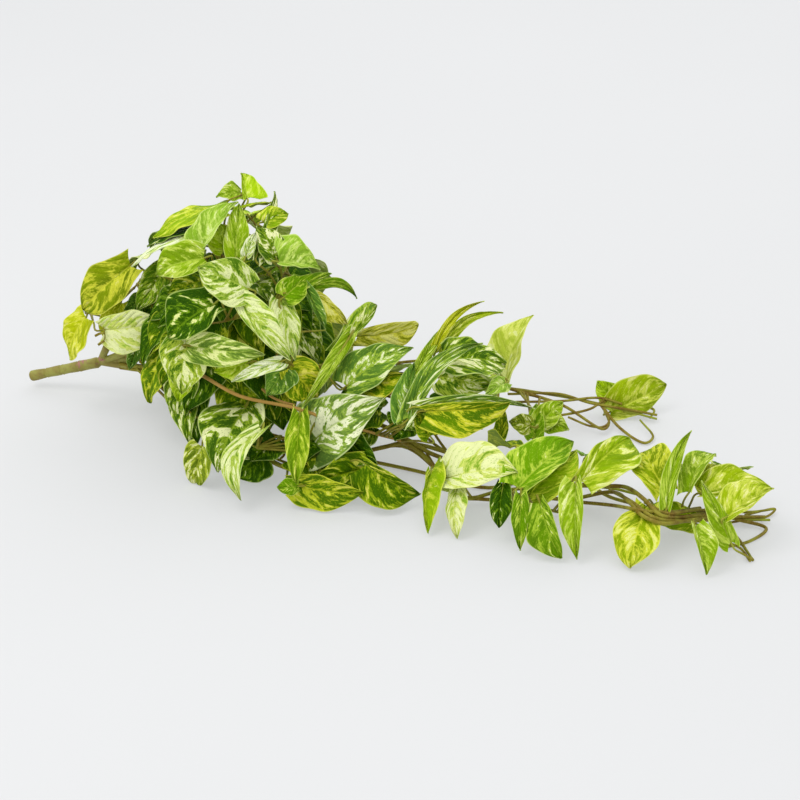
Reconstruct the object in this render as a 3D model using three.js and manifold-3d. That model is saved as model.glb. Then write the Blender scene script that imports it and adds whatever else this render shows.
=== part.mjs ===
// A trailing pothos bush lying on its side: a ringed moulded pick on the left that forks into
// wiry vines, a leafy mound, and three long runs of vine trailing along the surface to the right.
// Millimetres, +Z up, +X along the longest side, origin under the middle of the bounding box.
import * as THREE from "three";
import { mergeVertices } from "three/addons/utils/BufferGeometryUtils.js";
import Module from "manifold-3d";

// ---- driving dimensions (mm) ----
const PICK_RADIUS = 6.2;
const PICK_RING_DEPTH = 0.9;
const PICK_RING_WIDTH = 2.4;
const PICK_RINGS = [24, 48, 74];
const FORK_RADIUS = 4.6;
const FORK_END_RADIUS = 6.6;
const SOCKET_DEPTH = 8;
const SOCKET_RADIUS = 2.35;
const SOCKET_RING = 3.5;
const MOUTH_GAP = 3;
const VINE_RADIUS = 1.7;
const FOOT_RADIUS = 1.85;
const CLEARANCE = 0.3;
const BLADE_THICKNESS = 1.0;
const RIB_HALF_WIDTH = 1.2;
const RIB_MOST = 0.4;
const PETIOLE_HALF_WIDTH = 1.2;
const PETIOLE_END_HALF = 0.7;
const PETIOLE_LEAD = 9;
const VINE_SIDES = 4;
const ROUND_SIDES = 12;
const SOCKET_SIDES = 8;
const SEGMENT_STEPS = 2;
const JOINT_SPACING = 6;
const VIEWER_SHARE = 0.7;
const MERGE = 0.08;
const SLAB = 60;

// ---- the leaf's outline: stations along the midrib, half widths there, set-back of the lobes ----
const OUTLINE = { stations: [0, 0.17, 0.42, 0.74], halfWidths: [0.62, 1.0, 0.94, 0.54] };
const SMALL_OUTLINE = { stations: [0, 0.28, 0.68], halfWidths: [0.64, 1.0, 0.62] };
const SMALL_WIDTH = 45;
const LOBE_SETBACK = 0.11;

// ---- the view that the picture places are read in: straight along +Y, looking down ----
const VIEW_RISE = THREE.MathUtils.degToRad(26.5);
const VIEW_DISTANCE = 2700;
const VIEW_AIM = new THREE.Vector3(0, 0, 60);
const VIEW_CENTRE = 400;
const MM_PER_STEP = 1.28;
const TOWARD_VIEWER = new THREE.Vector3(0, -Math.cos(VIEW_RISE), Math.sin(VIEW_RISE));
const EYE = VIEW_AIM.clone().addScaledVector(TOWARD_VIEWER, VIEW_DISTANCE);

const vec = (x, y, z) => new THREE.Vector3(x, y, z);
const fract = (x) => x - Math.floor(x);
// A repeatable number between 0 and 1 for leaf i, with one value for each salt.
const chance = (i, salt) => fract(Math.sin(i * 12.9898 + salt * 78.233) * 43758.5453);

// The line of sight through a picture place, with one unit of depth along the view.
function sight(px, py) {
  const right = ((px - VIEW_CENTRE) * MM_PER_STEP) / VIEW_DISTANCE;
  const up = ((VIEW_CENTRE - py) * MM_PER_STEP) / VIEW_DISTANCE;
  const sin = Math.sin(VIEW_RISE);
  const cos = Math.cos(VIEW_RISE);
  return vec(right, cos + up * sin, -sin + up * cos);
}

// The point of a line of sight at a height above the surface.
function seen([px, py, height]) {
  const ray = sight(px, py);
  return EYE.clone().addScaledVector(ray, (height - EYE.z) / ray.z);
}

// ---- the rounded masses that the leaves lie on: centre, half sizes, turn about Z ----
const MASSES = {
  left: { centre: vec(-352, 110, 150), half: vec(70, 60, 110), turn: 0 },
  bush: { centre: vec(-205, 40, 110), half: vec(165, 175, 218), turn: 0 },
  front: { centre: vec(-110, -60, 20), half: vec(200, 125, 80), turn: -12 },
  heart: { centre: vec(20, -60, 40), half: vec(160, 110, 120), turn: -20 },
  lower: { centre: vec(170, -190, 30), half: vec(140, 80, 60), turn: -20 },
  upper: { centre: vec(215, 5, 25), half: vec(110, 60, 45), turn: 10 },
  tip: { centre: vec(385, -225, 30), half: vec(110, 70, 50), turn: -10 },
  loops: { centre: vec(300, 130, 0), half: vec(100, 60, 60), turn: 0 },
};

// A direction or place in a mass's own turned frame, scaled so that the mass is a unit ball.
function unitBall(mass, v) {
  const turned = v.clone().applyAxisAngle(vec(0, 0, 1), -THREE.MathUtils.degToRad(mass.turn));
  return turned.divide(mass.half);
}

function outward(mass, point) {
  const local = unitBall(mass, point.clone().sub(mass.centre)).divide(mass.half);
  return local.applyAxisAngle(vec(0, 0, 1), THREE.MathUtils.degToRad(mass.turn)).normalize();
}

// Where a line of sight meets a mass, moved on by a depth; past its edge, the nearest approach.
function onMass(mass, [px, py], depth) {
  const ray = sight(px, py);
  const from = unitBall(mass, EYE.clone().sub(mass.centre));
  const along = unitBall(mass, ray);
  const a = along.dot(along);
  const b = from.dot(along);
  const inside = Math.max(0, b * b - a * (from.dot(from) - 1));
  const t = (-b - Math.sqrt(inside)) / a;
  return EYE.clone().addScaledVector(ray, t + depth / ray.length());
}

// ---- solids ----
const wasm = await Module();
wasm.setup();

// A closed three.js geometry as a solid.
function toSolid(geometry) {
  const bare = geometry.index ? geometry.toNonIndexed() : geometry.clone();
  const places = new THREE.BufferGeometry().setAttribute("position", bare.getAttribute("position"));
  const merged = mergeVertices(places, 1e-4);
  const vertProperties = merged.attributes.position.array;
  const triVerts = new Uint32Array(merged.index.array);
  return new wasm.Manifold(new wasm.Mesh({ numProp: 3, vertProperties, triVerts }));
}

function toGeometry(solid) {
  const mesh = solid.getMesh();
  const geometry = new THREE.BufferGeometry();
  geometry.setAttribute("position", new THREE.BufferAttribute(mesh.vertProperties, 3));
  geometry.setIndex(new THREE.BufferAttribute(mesh.triVerts, 1));
  return geometry;
}

// A smooth curve that is sampled evenly between its places, so that every place is kept.
class Route extends THREE.CatmullRomCurve3 {
  constructor(places) {
    super(places, false, "centripetal");
    this.steps = SEGMENT_STEPS * (places.length - 1);
  }

  getUtoTmapping(u) {
    return u;
  }
}

// A rod along a curve, drawn with few sides.
function rod(curve, radius, sides, steps) {
  const outline = new THREE.Shape();
  for (let i = 0; i < sides; i++) {
    const angle = (i / sides) * 2 * Math.PI;
    const place = [radius * Math.cos(angle), radius * Math.sin(angle)];
    if (i === 0) outline.moveTo(...place);
    else outline.lineTo(...place);
  }
  outline.closePath();
  return toSolid(
    new THREE.ExtrudeGeometry(outline, { steps, bevelEnabled: false, extrudePath: curve }),
  );
}

// ---- the pick and its forks ----
const PICK_END = seen([31, 376, 16]);
const PICK_CROWN = seen([100, 362, 48]);
const FORKS = {
  left: { end: seen([110, 340, 88]) },
  high: { end: seen([146, 345, 92]) },
  middle: { end: seen([156, 355, 72]) },
  low: { end: seen([142, 368, 52]) },
};
const MOST_SOCKETS = 4;

// Place n of the ring of sockets in a fork's end face, out by a distance along the fork.
function socketPlace(fork, n, out) {
  const along = fork.end.clone().sub(PICK_CROWN).normalize();
  const side = along.clone().cross(vec(0, 0, 1)).normalize();
  const over = side.clone().cross(along);
  const angle = (n / MOST_SOCKETS) * 2 * Math.PI + Math.PI / 4;
  return fork.end
    .clone()
    .addScaledVector(along, out)
    .addScaledVector(side, SOCKET_RING * Math.cos(angle))
    .addScaledVector(over, SOCKET_RING * Math.sin(angle));
}

// The profile of the moulded pick: straight, a little wider at the crown, with cut rings.
function pickProfile(length) {
  const points = [new THREE.Vector2(0, 0), new THREE.Vector2(PICK_RADIUS - 1, 0)];
  points.push(new THREE.Vector2(PICK_RADIUS - 0.4, 1.5));
  for (const ring of PICK_RINGS) {
    points.push(new THREE.Vector2(PICK_RADIUS, ring - PICK_RING_WIDTH));
    points.push(new THREE.Vector2(PICK_RADIUS - PICK_RING_DEPTH, ring));
    points.push(new THREE.Vector2(PICK_RADIUS, ring + PICK_RING_WIDTH));
  }
  points.push(new THREE.Vector2(PICK_RADIUS + 0.9, length - 6));
  points.push(new THREE.Vector2(PICK_RADIUS - 1, length + 2));
  points.push(new THREE.Vector2(0, length + 4));
  return points;
}

// A solid standing up along +Z is turned to run from one place towards another.
function laidAlong(geometry, from, to) {
  const turn = new THREE.Quaternion().setFromUnitVectors(
    vec(0, 1, 0),
    to.clone().sub(from).normalize(),
  );
  return geometry.applyQuaternion(turn).translate(from.x, from.y, from.z);
}

function forkSolid(fork) {
  const length = fork.end.distanceTo(PICK_CROWN);
  const geometry = new THREE.CylinderGeometry(FORK_END_RADIUS, FORK_RADIUS, length, ROUND_SIDES);
  return toSolid(laidAlong(geometry.translate(0, length / 2, 0), PICK_CROWN, fork.end));
}

function stemSolid() {
  const length = PICK_END.distanceTo(PICK_CROWN);
  const pick = new THREE.LatheGeometry(pickProfile(length), ROUND_SIDES);
  let solid = toSolid(laidAlong(pick, PICK_END, PICK_CROWN));
  for (const fork of Object.values(FORKS)) solid = solid.add(forkSolid(fork));
  for (const { fork, socket } of VINES) {
    const hole = [-SOCKET_DEPTH, 3].map((out) => socketPlace(FORKS[fork], socket, out));
    const curve = new THREE.LineCurve3(...hole);
    solid = solid.subtract(rod(curve, SOCKET_RADIUS, SOCKET_SIDES, 1));
  }
  return solid;
}

// ---- leaves ----
// The leaf's own frame: X from root to tip, Z out of its upper face, Y across.
function leafFrame(root, tip, facing, roll) {
  const x = tip.clone().sub(root).normalize();
  const z = facing.clone().addScaledVector(x, -facing.dot(x)).normalize();
  z.applyAxisAngle(x, THREE.MathUtils.degToRad(roll));
  const y = z.clone().cross(x);
  return new THREE.Matrix4().makeBasis(x, y, z).setPosition(root);
}

// How leaf i departs from a flat, even one: its arch, the rise of its halves and the wave of its
// margin, the bend of its midrib, how much wider its left half is, and how far out its width holds.
function leafManner(i) {
  return {
    arch: 0.05 + 0.09 * chance(i, 1),
    rise: 0.1 + 0.24 * chance(i, 2),
    wave: 0.02 + 0.06 * chance(i, 3),
    phase: 2 * Math.PI * chance(i, 4),
    bend: 0,
    skew: 0,
    blunt: 1,
  };
}

// The middle surface of a leaf at a share s of its length and a share v of its half width.
function leafPoint(leaf, s, v, halfWidth) {
  const { length, manner } = leaf;
  const bow = length * 4 * s * (1 - s);
  const ripple = manner.wave * leaf.wide * Math.sin(7 * s + manner.phase + v) * v * v;
  const back = s === 0 ? LOBE_SETBACK * length * v * v : 0;
  const y = v * halfWidth;
  const z = manner.arch * bow + manner.rise * Math.abs(y) + ripple;
  return vec(s * length - back, y + manner.bend * bow, z);
}

// The half width of an outline at a share s of the length, in shares of the greatest one.
function halfWidthAt({ stations, halfWidths }, s) {
  const ends = [...stations, 1];
  const halves = [...halfWidths, 0];
  const next = ends.findIndex((end) => end >= s);
  if (next < 1) return halves[0];
  const share = (s - ends[next - 1]) / (ends[next] - ends[next - 1]);
  return THREE.MathUtils.lerp(halves[next - 1], halves[next], share);
}

// The rows of points of one leaf: outer, rib, rib, outer at each station, and the tip last.
function leafRows(leaf) {
  const { wide, manner } = leaf;
  const outline = wide < SMALL_WIDTH ? SMALL_OUTLINE : OUTLINE;
  const rows = outline.stations.map((s) => {
    const half = (halfWidthAt(outline, s ** manner.blunt) * wide) / 2;
    const [right, left] = [half * (1 - manner.skew), half * (1 + manner.skew)];
    return [
      leafPoint(leaf, s, -1, right),
      leafPoint(leaf, s, -Math.min(RIB_HALF_WIDTH / right, RIB_MOST), right),
      leafPoint(leaf, s, Math.min(RIB_HALF_WIDTH / left, RIB_MOST), left),
      leafPoint(leaf, s, 1, left),
    ];
  });
  return { rows, tip: leafPoint(leaf, 1, 0, 0) };
}

// A leaf with its petiole as one closed surface: two faces, a rim, and a square tube to the vine.
function leafSolid(leaf) {
  const places = [];
  const faces = [];
  const put = (v) => places.push(v) - 1;
  const quad = (a, b, c, d) => faces.push([a, b, c], [a, c, d]);
  const { rows, tip } = leafRows(leaf);
  const half = vec(0, 0, BLADE_THICKNESS / 2);
  const world = (v) => v.clone().applyMatrix4(leaf.frame);
  const upper = rows.map((row) => row.map((v) => put(world(v.clone().add(half)))));
  const lower = rows.map((row) => row.map((v) => put(world(v.clone().sub(half)))));
  const upperTip = put(world(tip.clone().add(half)));
  const lowerTip = put(world(tip.clone().sub(half)));
  const last = rows.length - 1;
  for (let k = 0; k < last; k++) {
    for (let c = 0; c < 3; c++) {
      quad(upper[k][c], upper[k + 1][c], upper[k + 1][c + 1], upper[k][c + 1]);
      quad(lower[k][c], lower[k][c + 1], lower[k + 1][c + 1], lower[k + 1][c]);
    }
    quad(upper[k][0], lower[k][0], lower[k + 1][0], upper[k + 1][0]);
    quad(upper[k][3], upper[k + 1][3], lower[k + 1][3], lower[k][3]);
  }
  for (let c = 0; c < 3; c++) {
    faces.push([upper[last][c], upperTip, upper[last][c + 1]]);
    faces.push([lower[last][c], lower[last][c + 1], lowerTip]);
  }
  quad(upper[last][0], lower[last][0], lowerTip, upperTip);
  quad(upper[last][3], upperTip, lowerTip, lower[last][3]);
  quad(upper[0][0], upper[0][1], lower[0][1], lower[0][0]);
  quad(upper[0][2], upper[0][3], lower[0][3], lower[0][2]);
  let ring = [upper[0][1], upper[0][2], lower[0][2], lower[0][1]];
  for (const next of petioleRings(leaf)) {
    const placed = next.map(put);
    for (let i = 0; i < 4; i++) {
      const j = (i + 1) % 4;
      quad(ring[i], ring[j], placed[j], placed[i]);
    }
    ring = placed;
  }
  quad(...ring);
  return closedSolid(places, faces);
}

// The square rings of a petiole, from just behind the blade to the axis of its vine.
function petioleRings(leaf) {
  const { root, frame, joint } = leaf;
  const [x, y, z] = [vec(0, 0, 0), vec(0, 0, 0), vec(0, 0, 0)];
  frame.extractBasis(x, y, z);
  const lead = root.clone().addScaledVector(x, -PETIOLE_LEAD);
  const reach = lead.clone().sub(joint).normalize();
  const ringAt = (centre, normal, half) => {
    const across = y.clone().addScaledVector(normal, -y.dot(normal)).normalize();
    const over = normal.clone().cross(across);
    return [[-1, 1], [1, 1], [1, -1], [-1, -1]].map(([a, b]) =>
      centre
        .clone()
        .addScaledVector(across, a * half)
        .addScaledVector(over, b * half),
    );
  };
  const between = x.clone().add(reach).normalize();
  return [ringAt(lead, between, PETIOLE_HALF_WIDTH), ringAt(joint, reach, PETIOLE_END_HALF)];
}

function closedSolid(places, faces) {
  const vertProperties = new Float32Array(places.flatMap((v) => [v.x, v.y, v.z]));
  const triVerts = new Uint32Array(faces.flat());
  return new wasm.Manifold(new wasm.Mesh({ numProp: 3, vertProperties, triVerts }));
}

// ---- vines: the fork and socket each stands in, its route, and runs that branch off it ----
// A route's places are [picture x, picture y, height] where seen, and plain vectors inside.
const VINES = [
  {
    name: "vine_left",
    fork: "left",
    socket: 0,
    mass: "left",
    route: [[106, 322, 112], [116, 306, 138], [134, 288, 162], [146, 272, 184]],
    runs: [[[108, 318, 118], [96, 315, 128], [86, 313, 133]]],
  },
  {
    name: "vine_crown",
    fork: "high",
    socket: 0,
    mass: "bush",
    route: [vec(-288, 55, 140), vec(-262, -10, 185), vec(-238, -14, 232), vec(-212, 20, 276)],
    runs: [[vec(-262, -10, 185), vec(-232, -62, 196), vec(-192, -84, 214)]],
  },
  {
    name: "vine_right",
    fork: "high",
    socket: 3,
    mass: "bush",
    route: [vec(-262, 34, 132), vec(-186, -38, 178), vec(-150, -34, 222), vec(-138, 10, 262)],
    runs: [[vec(-186, -38, 178), vec(-140, -66, 186), vec(-92, -48, 180)]],
  },
  {
    name: "vine_middle",
    fork: "middle",
    socket: 1,
    mass: "bush",
    route: [vec(-282, 40, 104), vec(-238, -44, 130), vec(-172, -84, 142), vec(-84, -78, 148)],
    runs: [],
  },
  {
    name: "vine_front",
    fork: "low",
    socket: 1,
    mass: "front",
    route: [vec(-316, 40, 66), vec(-280, -36, 74), vec(-232, -88, 66), vec(-176, -116, 52)],
    runs: [],
  },
  {
    name: "vine_heart",
    fork: "middle",
    socket: 0,
    mass: "heart",
    route: [[205, 377, 138], [240, 396, 124], [295, 408, 106], [342, 424, 82], [402, 441, 54]],
    runs: [[[342, 424, 82], [370, 404, 84], [404, 388, 86]]],
  },
  {
    name: "vine_upper",
    fork: "middle",
    socket: 3,
    mass: "upper",
    route: [
      vec(-240, 84, 72),
      vec(-150, 62, 74),
      vec(-50, 52, 76),
      vec(60, 44, 70),
      [507, 388, 56],
      [560, 396, 36],
      [600, 404, 22],
      [657, 419, 6],
    ],
    runs: [
      [vec(-50, 52, 76), vec(4, 20, 104), vec(50, -14, 122), vec(98, -34, 124)],
      [[507, 388, 56], [562, 405, 30], [602, 429, 10], [609, 423, 8], [605, 412, 14]],
      [[600, 404, 22], [616, 397, 22], [640, 405, 14], [654, 410, 9], [650, 418, 5]],
      [[600, 404, 22], [620, 428, 5], [645, 443, 3], [653, 437, 4], [640, 420, 8]],
    ],
  },
  {
    name: "vine_lower",
    fork: "low",
    socket: 0,
    mass: "lower",
    route: [
      vec(-285, 30, 34),
      [250, 447, 34],
      [288, 468, 22],
      [342, 458, 26],
      [402, 446, 30],
      [443, 476, 16],
      [466, 498, 9],
      [500, 491, 16],
      [558, 486, 22],
      [610, 488, 18],
      [636, 494, 14],
    ],
    runs: [
      [[466, 498, 9], [500, 500, 9], [540, 498, 12], [580, 502, 11], [622, 507, 8]],
      [[500, 491, 16], [530, 505, 8], [558, 512, 5]],
    ],
  },
  {
    name: "vine_back_high",
    fork: "high",
    socket: 1,
    mass: "bush",
    route: [vec(-278, 122, 150), vec(-225, 132, 200), vec(-180, 110, 245)],
    runs: [],
  },
  {
    name: "vine_back_low",
    fork: "middle",
    socket: 2,
    mass: "bush",
    route: [vec(-262, 134, 92), vec(-200, 150, 108), vec(-130, 132, 112), vec(-80, 96, 104)],
    runs: [],
  },
  {
    name: "vine_tip",
    fork: "low",
    socket: 3,
    mass: "tip",
    route: [
      vec(-280, 62, 18),
      vec(-170, 6, 8),
      vec(-60, -48, 3),
      vec(20, -84, 1.2),
      vec(110, -128, 1.2),
      [560, 470, 8],
      [610, 497, 7],
      [645, 507, 9],
      [664, 517, 10],
      [700, 513, 14],
      [735, 519, 8],
      [770, 520, 4],
    ],
    runs: [
      [[700, 513, 14], [716, 506, 16], [745, 512, 10], [775, 509, 6]],
      [[716, 517, 10], [735, 535, 4], [753, 560, 2]],
      [[735, 519, 8], [766, 528, 3], [750, 541, 2], [722, 548, 3]],
    ],
  },
];

// ---- leaves seen in the picture, by vine ----
// Each row: root and tip places, width, depths of root and tip under the mass, roll, and, where
// they aren't the plain ones, the mass it lies on and the manner in which it is bent or lopsided.
const LEAVES = {
  vine_left: [
    [[131, 265], [80, 311], 58, 0, -14, 8, { blunt: 1.9 }],
    [[86, 317], [70, 360], 59, 10, 0, 20, { skew: 0.14, blunt: 1.3 }],
    [[121, 303], [113, 350], 39, 34, 26, 0, { skew: -0.12, blunt: 1.2 }],
    [[104, 330], [168, 322], 52, -30, -34, 0, { skew: -0.17, blunt: 1.4, rise: 0.04 }],
    [[136, 350], [129, 370], 18, 20, -6, 0, { skew: -0.11 }],
    [[141, 300], [124, 310], 26, 24, 8, 0],
    [[164, 268], [137, 310], 36, 6, -2, 0, { skew: -0.12, blunt: 1.4 }],
    [[158, 290], [143, 315], 34, 16, 8, 0],
  ],
  vine_crown: [
    [[241, 193], [216, 197], 33, 14, 6, 0, { skew: 0.14 }],
    [[247, 198], [241, 173], 29, 10, 0, 0, { skew: -0.62, blunt: 0.45 }],
    [[268, 203], [240, 206], 34, 20, 12, 50, { rise: -0.15 }],
    [[221, 208], [152, 238], 60, 10, -2, 30, { rise: -0.12, arch: 0.1 }],
    [[190, 236], [131, 267], 40, 14, 4, 42, { rise: -0.1, arch: 0.08 }],
    [[192, 229], [147, 247], 38, 26, 18, 40, { rise: -0.1 }],
    [[204, 258], [154, 273], 43, 2, -8, 0, { skew: -0.12, blunt: 1.4 }],
    [[204, 245], [238, 201], 38, 2, -8, -24, { skew: 0.26, blunt: 0.8, rise: 0.5 }],
    [[236, 257], [239, 203], 29, 18, 10, 0],
    [[226, 250], [213, 221], 34, 28, 14, 0],
    [[246, 256], [256, 232], 15, 2, -6, 0, { skew: 0.06 }],
    [[249, 289], [197, 267], 54, 2, -10, 0, { skew: 0.06, blunt: 1.25 }],
    [[214, 304], [168, 338], 60, 10, -8, 12, { skew: -0.16, blunt: 1.9 }],
    [[242, 304], [291, 361], 33, 2, -14, 12, { skew: 0.39, blunt: 1.1 }],
  ],
  vine_right: [
    [[257, 255], [277, 189], 19, 10, -40, 20, { skew: -0.33 }],
    [[263, 222], [289, 213], 28, 12, 8, 0],
    [[276, 258], [256, 226], 38, 12, 4, 10],
    [[279, 262], [321, 269], 47, 4, -6, -28, { skew: 0.41, blunt: 0.75, rise: 0.5 }],
    [[289, 291], [332, 273], 17, 14, 6, 0, { skew: 0.29, blunt: 0.8 }],
    [[307, 290], [357, 299], 14, 32, 22, 30, { skew: 0.04, blunt: 1.2, bend: 0.16, arch: 0.03 }],
    [[284, 297], [306, 277], 34, 14, 8, 0],
    [[305, 287], [326, 330], 14, 10, 2, 20, { skew: 0.42, blunt: 1.5 }],
    [[318, 296], [348, 324], 25, 20, 14, 10, { skew: -0.5 }],
    [[281, 300], [295, 361], 32, 22, 12, 0, { skew: -0.14, blunt: 1.1 }],
  ],
  vine_middle: [
    [[187, 336], [181, 395], 60, 20, 10, 0, { skew: 0.09, blunt: 1.1 }],
    [[186, 366], [178, 402], 34, 34, 26, 0],
    [[190, 346], [264, 355], 39, 12, -2, 0, { skew: -0.05, blunt: 1.1 }],
    [[280, 362], [231, 381], 21, 8, -4, 35, { skew: 0.18 }],
    [[248, 363], [214, 372], 36, 22, 16, 0],
    [[284, 368], [266, 396], 40, 26, 18, 0],
    [[290, 367], [318, 400], 50, 24, 14, 0, { blunt: 1.4 }],
    [[350, 336], [303, 408], 18, -8, -16, 20, { skew: -0.19 }],
    [[334, 353], [377, 305], 23, 26, 14, -20, { skew: 0.65, blunt: 2.0, rise: 0.35 }],
    [[357, 336], [421, 325], 34, 40, 22, 20, { skew: -0.05, blunt: 2.2 }],
    [[346, 386], [413, 345], 58, 12, 2, 0, { on: "heart" }],
    [[352, 388], [405, 374], 47, 40, 24, 0, { on: "heart", skew: -0.6, blunt: 1.5 }],
  ],
  vine_front: [
    [[197, 385], [187, 440], 56, 4, 0, 0],
    [[246, 407], [217, 470], 75, 0, -6, 0, { blunt: 1.5 }],
    [[262, 430], [241, 501], 33, -20, -42, 20, { skew: 0.07, blunt: 1.5, bend: -0.24 }],
    [[202, 446], [195, 491], 41, 6, -8, 0, { skew: 0.12 }],
  ],
  vine_heart: [
    [[300, 414], [296, 484], 29, -14, -18, 0, { on: "front", skew: 0.03, blunt: 1.8, rise: 0.3 }],
    [[312, 442], [383, 398], 82, -4, -8, 0],
    [[404, 419], [415, 362], 26, 2, -10, 0, { skew: 0.37 }],
    [[409, 418], [484, 343], 23, -2, -46, 10, { blunt: 1.1, bend: 0.15 }],
    [[420, 407], [536, 409], 14, -8, -24, 24, { skew: 0.04, bend: 0.07, rise: -0.1, arch: 0.03 }],
    [[426, 411], [513, 404], 39, -4, -12, 24, { skew: -0.48, blunt: 1.3, rise: 0.4 }],
    [[430, 436], [414, 412], 26, 10, 6, 20],
  ],
  vine_upper: [
    [[506, 384], [533, 314], 53, 2, -4, -18, { skew: 0.24, blunt: 1.7, rise: 0.3 }],
    [[435, 352], [485, 301], 12, 22, 24, 20, { on: "heart", bend: 0.13 }],
    [[440, 350], [504, 313], 16, 34, 38, 20, { on: "heart", skew: -0.42, bend: 0.16 }],
    [[414, 375], [440, 329], 15, 24, 18, 20, { on: "heart", skew: -0.06 }],
    [[447, 360], [506, 366], 65, 8, 0, 0, { on: "heart", skew: -0.18, blunt: 1.2 }],
    [[505, 383], [486, 394], 23, 14, 6, 0, { on: "heart", skew: 0.04, blunt: 1.6 }],
    [[440, 376], [493, 386], 46, 30, 22, 40, { on: "heart" }],
    [[540, 423], [563, 402], 32, 4, 0, 0],
    [[545, 420], [569, 430], 30, 8, 2, 0],
    [[534, 438], [536, 403], 26, 0, -6, 0],
    [[530, 426], [509, 421], 26, -4, -8, 0],
    [[500, 438], [505, 410], 20, 0, -8, 0],
    [[616, 406], [597, 381], 31, 6, 4, 0, { on: "loops", skew: -0.1, blunt: 1.5 }],
    [[610, 412], [668, 384], 50, 0, -4, 0, { on: "loops", skew: 0.27, blunt: 1.7 }],
  ],
  vine_lower: [
    [[294, 484], [364, 492], 47, 16, 2, 20, { on: "front", skew: -0.05, blunt: 1.4 }],
    [[366, 468], [312, 482], 48, 30, 24, 0, { on: "front" }],
    [[346, 438], [376, 465], 42, 12, 6, 0, { on: "heart" }],
    [[365, 464], [421, 496], 46, 4, -4, 20, { on: "front", skew: -0.51, blunt: 1.2, rise: 0.35 }],
    [[447, 478], [516, 470], 61, 2, -8, -12, { skew: 0.25, blunt: 1.4, rise: 0.25 }],
    [[431, 473], [427, 533], 39, 0, -44, -10, { skew: 0.79, blunt: 1.4 }],
    [[457, 489], [457, 539], 28, 10, -40, 0, { skew: 0.31, blunt: 1.5 }],
    [[456, 478], [436, 486], 28, 12, 8, 0],
    [[518, 488], [574, 442], 57, 2, -8, -10, { skew: 0.19, blunt: 1.3 }],
    [[528, 496], [577, 448], 36, 14, 8, 0, { skew: -0.62, blunt: 1.5 }],
    [[503, 484], [499, 528], 27, 6, -12, 0, { skew: 0.11, blunt: 1.8 }],
    [[521, 496], [520, 551], 20, -10, -56, 0, { skew: 0.03, blunt: 1.3 }],
    [[540, 503], [561, 559], 38, -8, -60, 10, { skew: -0.37, blunt: 1.8 }],
    [[576, 484], [577, 560], 28, -4, -58, 10, { skew: -0.35, blunt: 1.2 }],
    [[581, 481], [630, 436], 52, 22, 6, 0, { skew: -0.42, blunt: 2.0 }],
    [[298, 486], [277, 488], 21, 6, 0, 0, { on: "front", skew: -0.1, blunt: 1.5 }],
  ],
  vine_tip: [
    [[664, 492], [641, 448], 49, 8, 0, 0, { skew: -0.11, blunt: 1.8 }],
    [[667, 507], [692, 430], 18, -6, -40, 10, { skew: 0.07, blunt: 1.2, bend: 0.07 }],
    [[689, 492], [715, 451], 33, 8, 2, -20, { skew: 0.16, blunt: 1.9 }],
    [[714, 497], [697, 461], 40, 34, 26, 0],
    [[728, 516], [774, 487], 36, 2, -6, -20, { skew: 0.42, blunt: 1.2, rise: 0.3 }],
    [[731, 542], [701, 480], 25, -6, -14, 0, { skew: 0.2, blunt: 0.9 }],
    [[695, 526], [707, 574], 23, -8, -62, -20, { skew: 0.6, blunt: 1.5 }],
    [[647, 506], [630, 568], 54, -6, -62, 0, { skew: 0.05, blunt: 2.6 }],
    [[694, 523], [650, 506], 42, 60, 58, 40, { blunt: 1.3 }],
    [[704, 493], [771, 485], 38, 22, 10, -20, { skew: 0.36, blunt: 1.2 }],
  ],
};

// ---- leaves on the sides that the picture doesn't show: rings of them round a mass ----
// lift is the roots' angle above the mass's middle, and from and to are angles about Z.
const HIDDEN_RINGS = {
  vine_back_high: [
    { mass: "bush", lift: 46, from: 78, to: 156, count: 4, wide: 64 },
    { mass: "bush", lift: 60, from: 84, to: 146, count: 2, wide: 60 },
  ],
  vine_back_low: [
    { mass: "bush", lift: 0, from: 44, to: 132, count: 4, wide: 70 },
    { mass: "bush", lift: 25, from: 54, to: 126, count: 4, wide: 72 },
  ],
  vine_upper: [{ mass: "heart", lift: 34, from: 64, to: 122, count: 2, wide: 64 }],
  vine_lower: [{ mass: "lower", lift: 40, from: 58, to: 122, count: 2, wide: 54 }],
  vine_tip: [{ mass: "tip", lift: 40, from: 84, to: 130, count: 2, wide: 48 }],
};
const HIDDEN_DROP = 27;
const HIDDEN_ROOT_SCALE = 0.84;
const HIDDEN_SCATTER = 8;

// The place on a mass, scaled about its centre, at an angle about Z and a lift.
function roundMass(mass, angle, lift, scale) {
  const [a, l] = [angle, lift].map(THREE.MathUtils.degToRad);
  const place = vec(Math.cos(l) * Math.cos(a), Math.cos(l) * Math.sin(a), Math.sin(l));
  place.multiply(mass.half).multiplyScalar(scale);
  return place.applyAxisAngle(vec(0, 0, 1), THREE.MathUtils.degToRad(mass.turn)).add(mass.centre);
}

// ---- assembly ----
const routeCurve = (places) => new Route(places.map((p) => (p.isVector3 ? p.clone() : seen(p))));
const socketPlaces = ({ fork, socket }, outs) =>
  outs.map((out) => socketPlace(FORKS[fork], socket, out));

// The curves of a vine: its own from the mouth of its socket on, and the runs that branch off.
function vineCurves(vine) {
  const mouth = socketPlaces(vine, [MOUTH_GAP, PETIOLE_LEAD]);
  return [[...mouth, ...vine.route], ...vine.runs].map(routeCurve);
}

// The straight foot of a vine in its socket, clear of the socket's floor.
function footRod(vine) {
  const foot = socketPlaces(vine, [CLEARANCE - SOCKET_DEPTH, PETIOLE_LEAD]);
  return rod(new THREE.LineCurve3(...foot), FOOT_RADIUS, VINE_SIDES, 1);
}

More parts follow.
